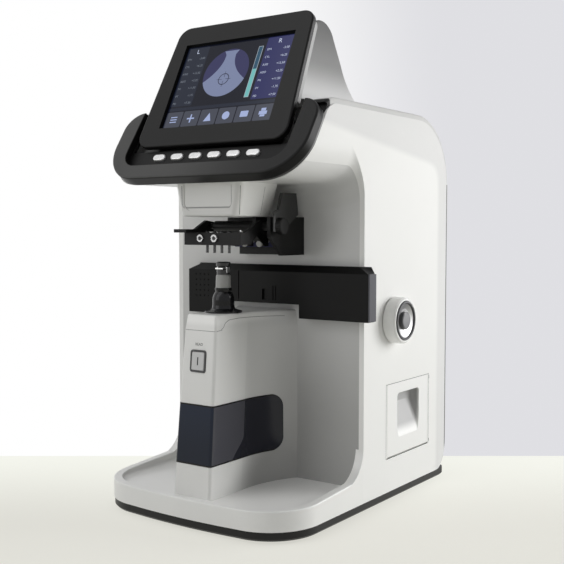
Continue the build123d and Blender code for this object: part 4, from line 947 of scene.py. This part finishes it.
class LENSMETER_OT_tower(bpy.types.Operator):
    """Finishes the tower's window, the read button and the nosepiece."""
    bl_idname = "lensmeter.tower"
    bl_label = "Tower"

    def execute(self, context):
        self.window()
        moulded("ring_dark", (0.045, 0.045, 0.047), 0.85, 0.35, "read_button_ring")
        moulded("button_silver", 0.62, 0.95, 0.35, "read_button", coat=0.2)
        self.read_mark()
        self.nosepiece()
        return done(self, "tower finished")

    def window(self):
        """Smoked plastic with a dark rim, bluer in front, and a painted reflection that makes the flank's
        first stretch paler.
        """
        _, shop = material("window_smoked", "tower_window")
        height = share_of_height(shop, "tower_window")
        tint = colours().window
        front = shop.blend(height.soft(0.1, 1.0), tint, tinted(tint, 1.5))
        behind = behind_tower_front(shop)
        rounded = behind + (1.0 - height.soft(-0.05, 0.4)) * (16 * MM)
        # Painted reflection: the flank's first stretch is paler than the rest of the flank.
        flank = shop.blend(rounded.soft(TOWER_STRIPE, TOWER_STRIPE + MM), (0.075, 0.075, 0.09),
                           (0.012, 0.013, 0.022))
        rim = (height < 0.025) + (height > 0.975)
        shop.surface(
            Base_Color=shop.blend(rim, shop.blend(behind.soft(0.8 * MM, 1.6 * MM), front, flank),
                                  (0.003, 0.003, 0.004)),
            Roughness=0.1 + shop.noise(60.0) * 0.05,
            Coat_Weight=0.1, Coat_Roughness=0.04, IOR=1.5, Specular_IOR_Level=0.25,
        )

    def read_mark(self):
        """The bar on the read button, and its word above the ring."""
        ink = moulded("mark_dark", (0.02, 0.02, 0.022), 0.9, 0.5)
        mark = bmesh.new()
        slab(mark, (-0.6 * MM, -3.4 * MM, -0.5 * MM), (0.6 * MM, 3.4 * MM, -0.1 * MM),
             plane_matrix(READ_CENTRE, READ_LEAN, 1.0 * MM))
        fitted("read_mark", mark, ink, "read_key")
        word = plane_matrix(READ_CENTRE, READ_LEAN, 0.02 * MM) @ Matrix.Translation((0, 14.5 * MM, 0))
        carried(lettering("read_word", "READ", 3.4 * MM, word, ink), "case")

    def nosepiece(self):
        """A glossy black bell, a grey collar under a black tip, and bright clips."""
        _, shop = material("nose_black", "nosepiece_base")
        grain = shop.noise(700.0)
        shop.surface(
            Base_Color=shop.blend(grain, (0.006, 0.006, 0.007), (0.01, 0.01, 0.011)),
            Roughness=0.2 + grain * 0.08, Coat_Weight=0.3, Coat_Roughness=0.05, Specular_IOR_Level=0.12,
        )
        _, shop = material("nose_tip", "nosepiece_tip")
        above_collar = shop.place("Z") > COLLAR_TOP_Z
        shop.surface(
            Base_Color=shop.blend(above_collar, (0.3, 0.3, 0.29), 0.012),
            Roughness=0.42 - above_collar * 0.12, Coat_Weight=0.2, Coat_Roughness=0.15,
        )
        clips = bmesh.new()
        for side in (-5.2 * MM, 5.2 * MM):
            slab(clips, (side - 0.7 * MM, -2.2 * MM, 214.5 * MM), (side + 0.7 * MM, 2.2 * MM, 219.3 * MM))
        slab(clips, (-4.4 * MM, -6.3 * MM, 217.6 * MM), (4.4 * MM, -4.6 * MM, 218.7 * MM))
        bmesh.ops.bevel(clips, geom=list(clips.edges), offset=0.2 * MM, segments=2, affect="EDGES")
        fitted("nose_clips", clips, bare_metal("clip_silver", 0.8, 0.2), "nosepiece")


# Lens table

class LENSMETER_OT_table(bpy.types.Operator):
    """Finishes the lens table and its guides."""
    bl_idname = "lensmeter.table"
    bl_label = "Lens table"

    def execute(self, context):
        moulded("table_black", 0.006, 0.8, 0.42, "lens_table", grain=0.02 * MM, shine=0.13)
        moulded("cap_slate", (0.12, 0.12, 0.135), 0.92, 0.55, "table_end_cap", shine=0.15)
        guides = ("guide_rods", "guide_bushes", "table_rack", "knob_shaft")
        bare_metal("guide_steel", (0.62, 0.62, 0.63), 0.18, *guides, stretch=(1.0, 0.05, 1.0))
        return done(self, "table finished")


# Press and marker

class LENSMETER_OT_mechanism(bpy.types.Operator):
    """Finishes the press, the marker and their housing, and adds their small parts."""
    bl_idname = "lensmeter.mechanism"
    bl_label = "Press and marker"

    def execute(self, context):
        dark_parts = ("mechanism_housing", "marker_carrier", "press_frame", "marker_shaft")
        black = moulded("mechanism_black", 0.009, 0.8, 0.42, *dark_parts, grain=0.03 * MM, shine=0.18)
        moulded("lever_black", 0.01, 0.85, 0.3, "press_lever", coat=0.2)
        moulded("pen_grey", (0.42, 0.42, 0.41), 0.9, 0.3, "marker_pens", coat=0.3)
        _, shop = material("pin_metal", "press_pins")
        front_screws = shop.place("Y") < -15.4 * MM
        shop.surface(Base_Color=shop.blend(front_screws, 0.09, 0.4), Roughness=0.2 + shop.noise(900.0) * 0.12,
                     Metallic=0.8)
        _, shop = material("ink_felt", "ink_pad")
        fibres = shop.noise(1800.0, 4.0)
        shop.surface(
            Base_Color=shop.blend(fibres, (0.012, 0.012, 0.05), (0.03, 0.03, 0.1)), Roughness=0.95,
            Sheen_Weight=0.3, Normal=shop.bump(fibres, 0.2 * MM),
        )
        self.thumb_wheel(black)
        self.screw_sockets()
        self.pin_heads(black)
        self.marker_screw()
        return done(self, "mechanism finished")

    def thumb_wheel(self, paint):
        """Ribs round the marker's thumb wheel, and a plate on its face."""
        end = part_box("marker_shaft")[1][0]
        rib = bmesh.new()
        radius = 7.0 * MM
        slab(rib, (-2.4 * MM, radius - 0.3 * MM, -0.3 * MM), (2.4 * MM, radius + 0.4 * MM, 0.3 * MM))
        grown("wheel_ribs", ring_tree(), {
            "Shape": from_bmesh("wheel_rib", rib), "Count": details().rib_count,
            "Centre": Vector((end - 2.75 * MM, SHAFT_Y, SHAFT_Z)), "Paint": paint,
        }, "marker")
        face = bmesh.new()
        side = Matrix.Translation((end, SHAFT_Y, SHAFT_Z)) @ Matrix.Rotation(math.radians(90), 4, "Y")
        disc(face, (0, 0, -0.1 * MM), 6.4 * MM, 0.3 * MM, side)
        fitted("wheel_face", face, paint, "marker")

    def screw_sockets(self):
        """The six-sided holes in the press's two screws."""
        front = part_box("press_pins")[0][1]
        sockets = bmesh.new()
        for x in (-12.9 * MM, 3.0 * MM):
            disc(sockets, (0, 0, -0.2 * MM), 1.9 * MM, 0.32 * MM, facing_front(x, front, PRESS_SCREW_Z), 6)
        fitted("press_screw_sockets", sockets, moulded("socket_dark", 0.01, 0.9, 0.5), "press")

    def pin_heads(self, paint):
        """The pins' round heads on top of the press's bar."""
        head = bmesh.new()
        disc(head, (0, 0, -0.3 * MM), 1.7 * MM, 1.3 * MM, segments=24, top=1.2 * MM)
        start = Vector((-1.5 * PIN_PITCH, -7.0 * MM, PRESS_BAR_Z))
        grid("pin_heads", head, paint, "press", start, (4, 1), (Vector((PIN_PITCH, 0, 0)), Vector()))

    def marker_screw(self):
        """The small bright screw on the front of the marker's bar."""
        screw = bmesh.new()
        axes = facing_front(0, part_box("marker_carrier")[0][1], 0)
        disc(screw, (10.2 * MM, 251.3 * MM, -0.3 * MM), 1.3 * MM, 1.2 * MM, axes, 28, 0.9 * MM)
        fitted("marker_screw", screw, bare_metal("marker_silver", 0.85, 0.16), "marker")


# Knob

class LENSMETER_OT_knob(bpy.types.Operator):
    """Finishes the table's knob."""
    bl_idname = "lensmeter.knob"
    bl_label = "Knob"

    def execute(self, context):
        moulded("knob_white", (0.92, 0.92, 0.9), 0.99, 0.25, "knob_rim")
        moulded("knob_dark", (0.03, 0.03, 0.032), 0.85, 0.35, "knob_ring")
        moulded("knob_cap_grey", (0.09, 0.09, 0.095), 0.9, 0.32, "knob_cap", coat=0.3)
        _, shop = material("knob_silver", "knob_dish")
        across, upward, radius = shop.about(middle("knob_dish"), "Y")
        rings = shop.maths("SINE", radius * 9000.0)
        # Painted reflection: the silver dish is dark at the top left and bright towards the bottom.
        dish_reflection = (across * 0.5 - upward).soft(-15 * MM, 15 * MM)
        shop.surface(
            Base_Color=shop.blend(dish_reflection, 0.22, 0.6), Roughness=0.38 + rings * 0.03,
            Normal=shop.bump(rings, 0.006 * MM), Metallic=1.0,
        )
        return done(self, "knob finished")


# Printer

class LENSMETER_OT_printer(bpy.types.Operator):
    """Finishes the printer's door, roll and frame."""
    bl_idname = "lensmeter.printer"
    bl_label = "Printer"

    def execute(self, context):
        # Painted light: the door wears the brighter copy of the case white.
        bright = tinted(colours().case, BRIGHTER)
        moulded("door_white", bright, 0.98, 0.4, "printer_door", coat=0.1, part=self.scoop_shade)
        moulded("printer_grey", (0.07, 0.07, 0.075), 0.85, 0.5, "printer_frame")
        moulded("roller_rubber", 0.02, 0.8, 0.7, "platen_roller")
        _, shop = material("thermal_paper", "paper_roll")
        _, _, radius = shop.about(middle("paper_roll"), "X")
        turns = shop.maths("SINE", radius * 6000.0)
        shop.surface(
            Base_Color=shop.blend(turns * 0.5 + 0.5, (0.8, 0.8, 0.77), (0.88, 0.88, 0.86)), Roughness=0.75,
            Normal=shop.bump(shop.noise(900.0), 0.02 * MM),
        )
        return done(self, "printer finished")

    def scoop_shade(self, shop, base):
        """Painted shade: the finger scoop is greyer than the door's face."""
        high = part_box("printer_door")[1]
        depth = (high[0] - shop.place("X")).soft(0.5 * MM, 3.0 * MM)
        return shop.blend(depth * 0.8, base, 0.28)


# Inner parts

class LENSMETER_OT_inner(bpy.types.Operator):
    """Finishes the chassis, the supply and the optics inside."""
    bl_idname = "lensmeter.inner"
    bl_label = "Inner parts"

    def execute(self, context):
        bare_metal("chassis_sheet", (0.72, 0.73, 0.74), 0.3, "chassis_frame", stretch=(1.0, 1.0, 0.1))
        bare_metal("supply_zinc", (0.6, 0.6, 0.58), 0.34, "power_supply")
        moulded("optics_black", 0.015, 0.8, 0.6, "light_module", "sensor_module")
        _, shop = material("lens_glass", "protective_glass")
        shop.surface(Roughness=0.01 + shop.noise(200.0) * 0.03, IOR=1.52, Transmission_Weight=1.0)
        return done(self, "inner parts finished")


# Stage

class LENSMETER_OT_stage(bpy.types.Operator):
    """Adds the table top, the backdrop's light, the lamps and the camera."""
    bl_idname = "lensmeter.stage"
    bl_label = "Stage"

    def execute(self, context):
        scene = context.scene
        settings = scene.lensmeter_stage
        azimuth, pitch = settings.azimuth, settings.pitch
        forward = Vector((-math.sin(azimuth) * math.cos(pitch), math.cos(azimuth) * math.cos(pitch),
                          -math.sin(pitch)))
        camera_data = bpy.data.cameras.new("camera")
        camera_data.lens = settings.lens
        camera_data.sensor_width = 36.0
        eye = Vector((526.8, -653.6, 254.0)) * MM
        scene.camera = self.aimed("camera", camera_data, eye, forward)
        self.floor(eye, azimuth, settings.table_edge)
        self.world(scene, settings.world_level)
        target = Vector((0, 0.06, 0.2))
        for name, power, size, place in (
            ("lamp_right", settings.key_power, 1.3, (1.5, 1.5, 0.6)),
            ("lamp_left", settings.fill_power, 1.2, (-0.9, -1.6, 0.75)),
            ("lamp_upper", settings.upper_power, 1.4, (-0.5, -1.1, 1.7)),
        ):
            lamp = bpy.data.lights.new(name, "AREA")
            lamp.energy = power
            lamp.size = size
            self.aimed(name, lamp, place, target - Vector(place))
        scene.view_settings.view_transform = "Standard"
        return done(self, "stage ready")

    def aimed(self, name, data, place, forward):
        """A camera or lamp at a place, looking along a direction."""
        made = bpy.data.objects.new(name, data)
        made.location = place
        made.rotation_mode = "QUATERNION"
        made.rotation_quaternion = forward.to_track_quat("-Z", "Y")
        bpy.context.scene.collection.objects.link(made)
        return made

    def floor(self, eye, azimuth, edge):
        """A pale table top that glows with painted light, brighter towards its back edge, which is square to
        the camera's line of sight.
        """
        made, shop = material("table_top")
        grain = shop.noise(500.0)
        top = shop.blend(grain, (0.78, 0.78, 0.74), (0.8, 0.8, 0.76))
        fine = shop.bump(grain, 0.1 * MM)
        plain = shop.node("ShaderNodeBsdfDiffuse", values={"Color": top, "Normal": fine})
        depth = shop.place("Y") * math.cos(azimuth) - shop.place("X") * math.sin(azimuth)
        start = eye[1] * math.cos(azimuth) - eye[0] * math.sin(azimuth)
        bright_from = 0.78
        rise = (depth - start).soft(bright_from, edge)
        colour = shop.blend(rise, (0.9, 0.89, 0.82), (1.16, 1.17, 1.08))
        # Painted light: the top glows for camera, reflection and glass rays, brighter towards its back edge.
        painted_glow = shop.node("ShaderNodeEmission", values={"Color": colour, "Strength": 1.0})
        mixed = shop.node("ShaderNodeMixShader", values=(shop.seen() * 0.68, plain, painted_glow))
        shop.node("ShaderNodeOutputMaterial", values={"Surface": mixed})
        reach = 4.0
        turn = Matrix.Translation((eye[0], eye[1], 0.0)) @ Matrix.Rotation(azimuth, 4, "Z")
        size = Matrix.Diagonal((reach, reach, 1.0, 1.0))
        place = turn @ Matrix.Translation((0, edge - reach, -2.0 * MM)) @ size
        shape = bmesh.new()
        bmesh.ops.create_grid(shape, x_segments=1, y_segments=1, size=1.0, matrix=place)
        from_bmesh("floor", shape, made)

    def world(self, scene, level):
        """Even light from all round, and a backdrop that is white on the left and pale grey on the right."""
        world = bpy.data.worlds.new("surroundings")
        scene.world = world
        world.use_nodes = True
        shop = Shop(world.node_tree)
        direction = shop.node("ShaderNodeTexCoord", output="Generated")
        side = shop.node("ShaderNodeSeparateXYZ", values=(direction,))
        backdrop = shop.blend(side.soft(-0.62, -0.42), 1.0, (0.74, 0.74, 0.77))
        lit = shop.node("ShaderNodeBackground", values={"Color": tinted(1.0), "Strength": level})
        pictured = shop.node("ShaderNodeBackground", values={"Color": backdrop, "Strength": 1.0})
        mixed = shop.node("ShaderNodeMixShader", values=(shop.seen(), lit, pictured))
        shop.node("ShaderNodeOutputWorld", values={"Surface": mixed})


# Panel and registration

OPERATORS = (
    LENSMETER_OT_case, LENSMETER_OT_rear, LENSMETER_OT_display, LENSMETER_OT_tower, LENSMETER_OT_table,
    LENSMETER_OT_mechanism, LENSMETER_OT_knob, LENSMETER_OT_printer, LENSMETER_OT_inner, LENSMETER_OT_stage,
)

GROUPS = {
    "lensmeter_colours": LensmeterColours,
    "lensmeter_details": LensmeterDetails,
    "lensmeter_stage": LensmeterStage,
}


class LENSMETER_PT_panel(bpy.types.Panel):
    """Lists the settings and the steps."""
    bl_idname = "LENSMETER_PT_panel"
    bl_label = "Lensmeter"
    bl_space_type = "VIEW_3D"
    bl_region_type = "UI"
    bl_category = "Lensmeter"

    def draw(self, context):
        for name, group in GROUPS.items():
            box = self.layout.box()
            for setting in group.__annotations__:
                box.prop(getattr(context.scene, name), setting)
        for operator in OPERATORS:
            self.layout.operator(operator.bl_idname)


def register():
    for name, group in GROUPS.items():
        bpy.utils.register_class(group)
        setattr(bpy.types.Scene, name, PointerProperty(type=group))
    for kind in (*OPERATORS, LENSMETER_PT_panel):
        bpy.utils.register_class(kind)


def unregister():
    for kind in (LENSMETER_PT_panel, *reversed(OPERATORS)):
        bpy.utils.unregister_class(kind)
    for name, group in reversed(GROUPS.items()):
        delattr(bpy.types.Scene, name)
        bpy.utils.unregister_class(group)


def main():
    register()
    for operator in OPERATORS:
        group, name = operator.bl_idname.split(".")
        getattr(getattr(bpy.ops, group), name)()


if __name__ == "__main__":
    main()
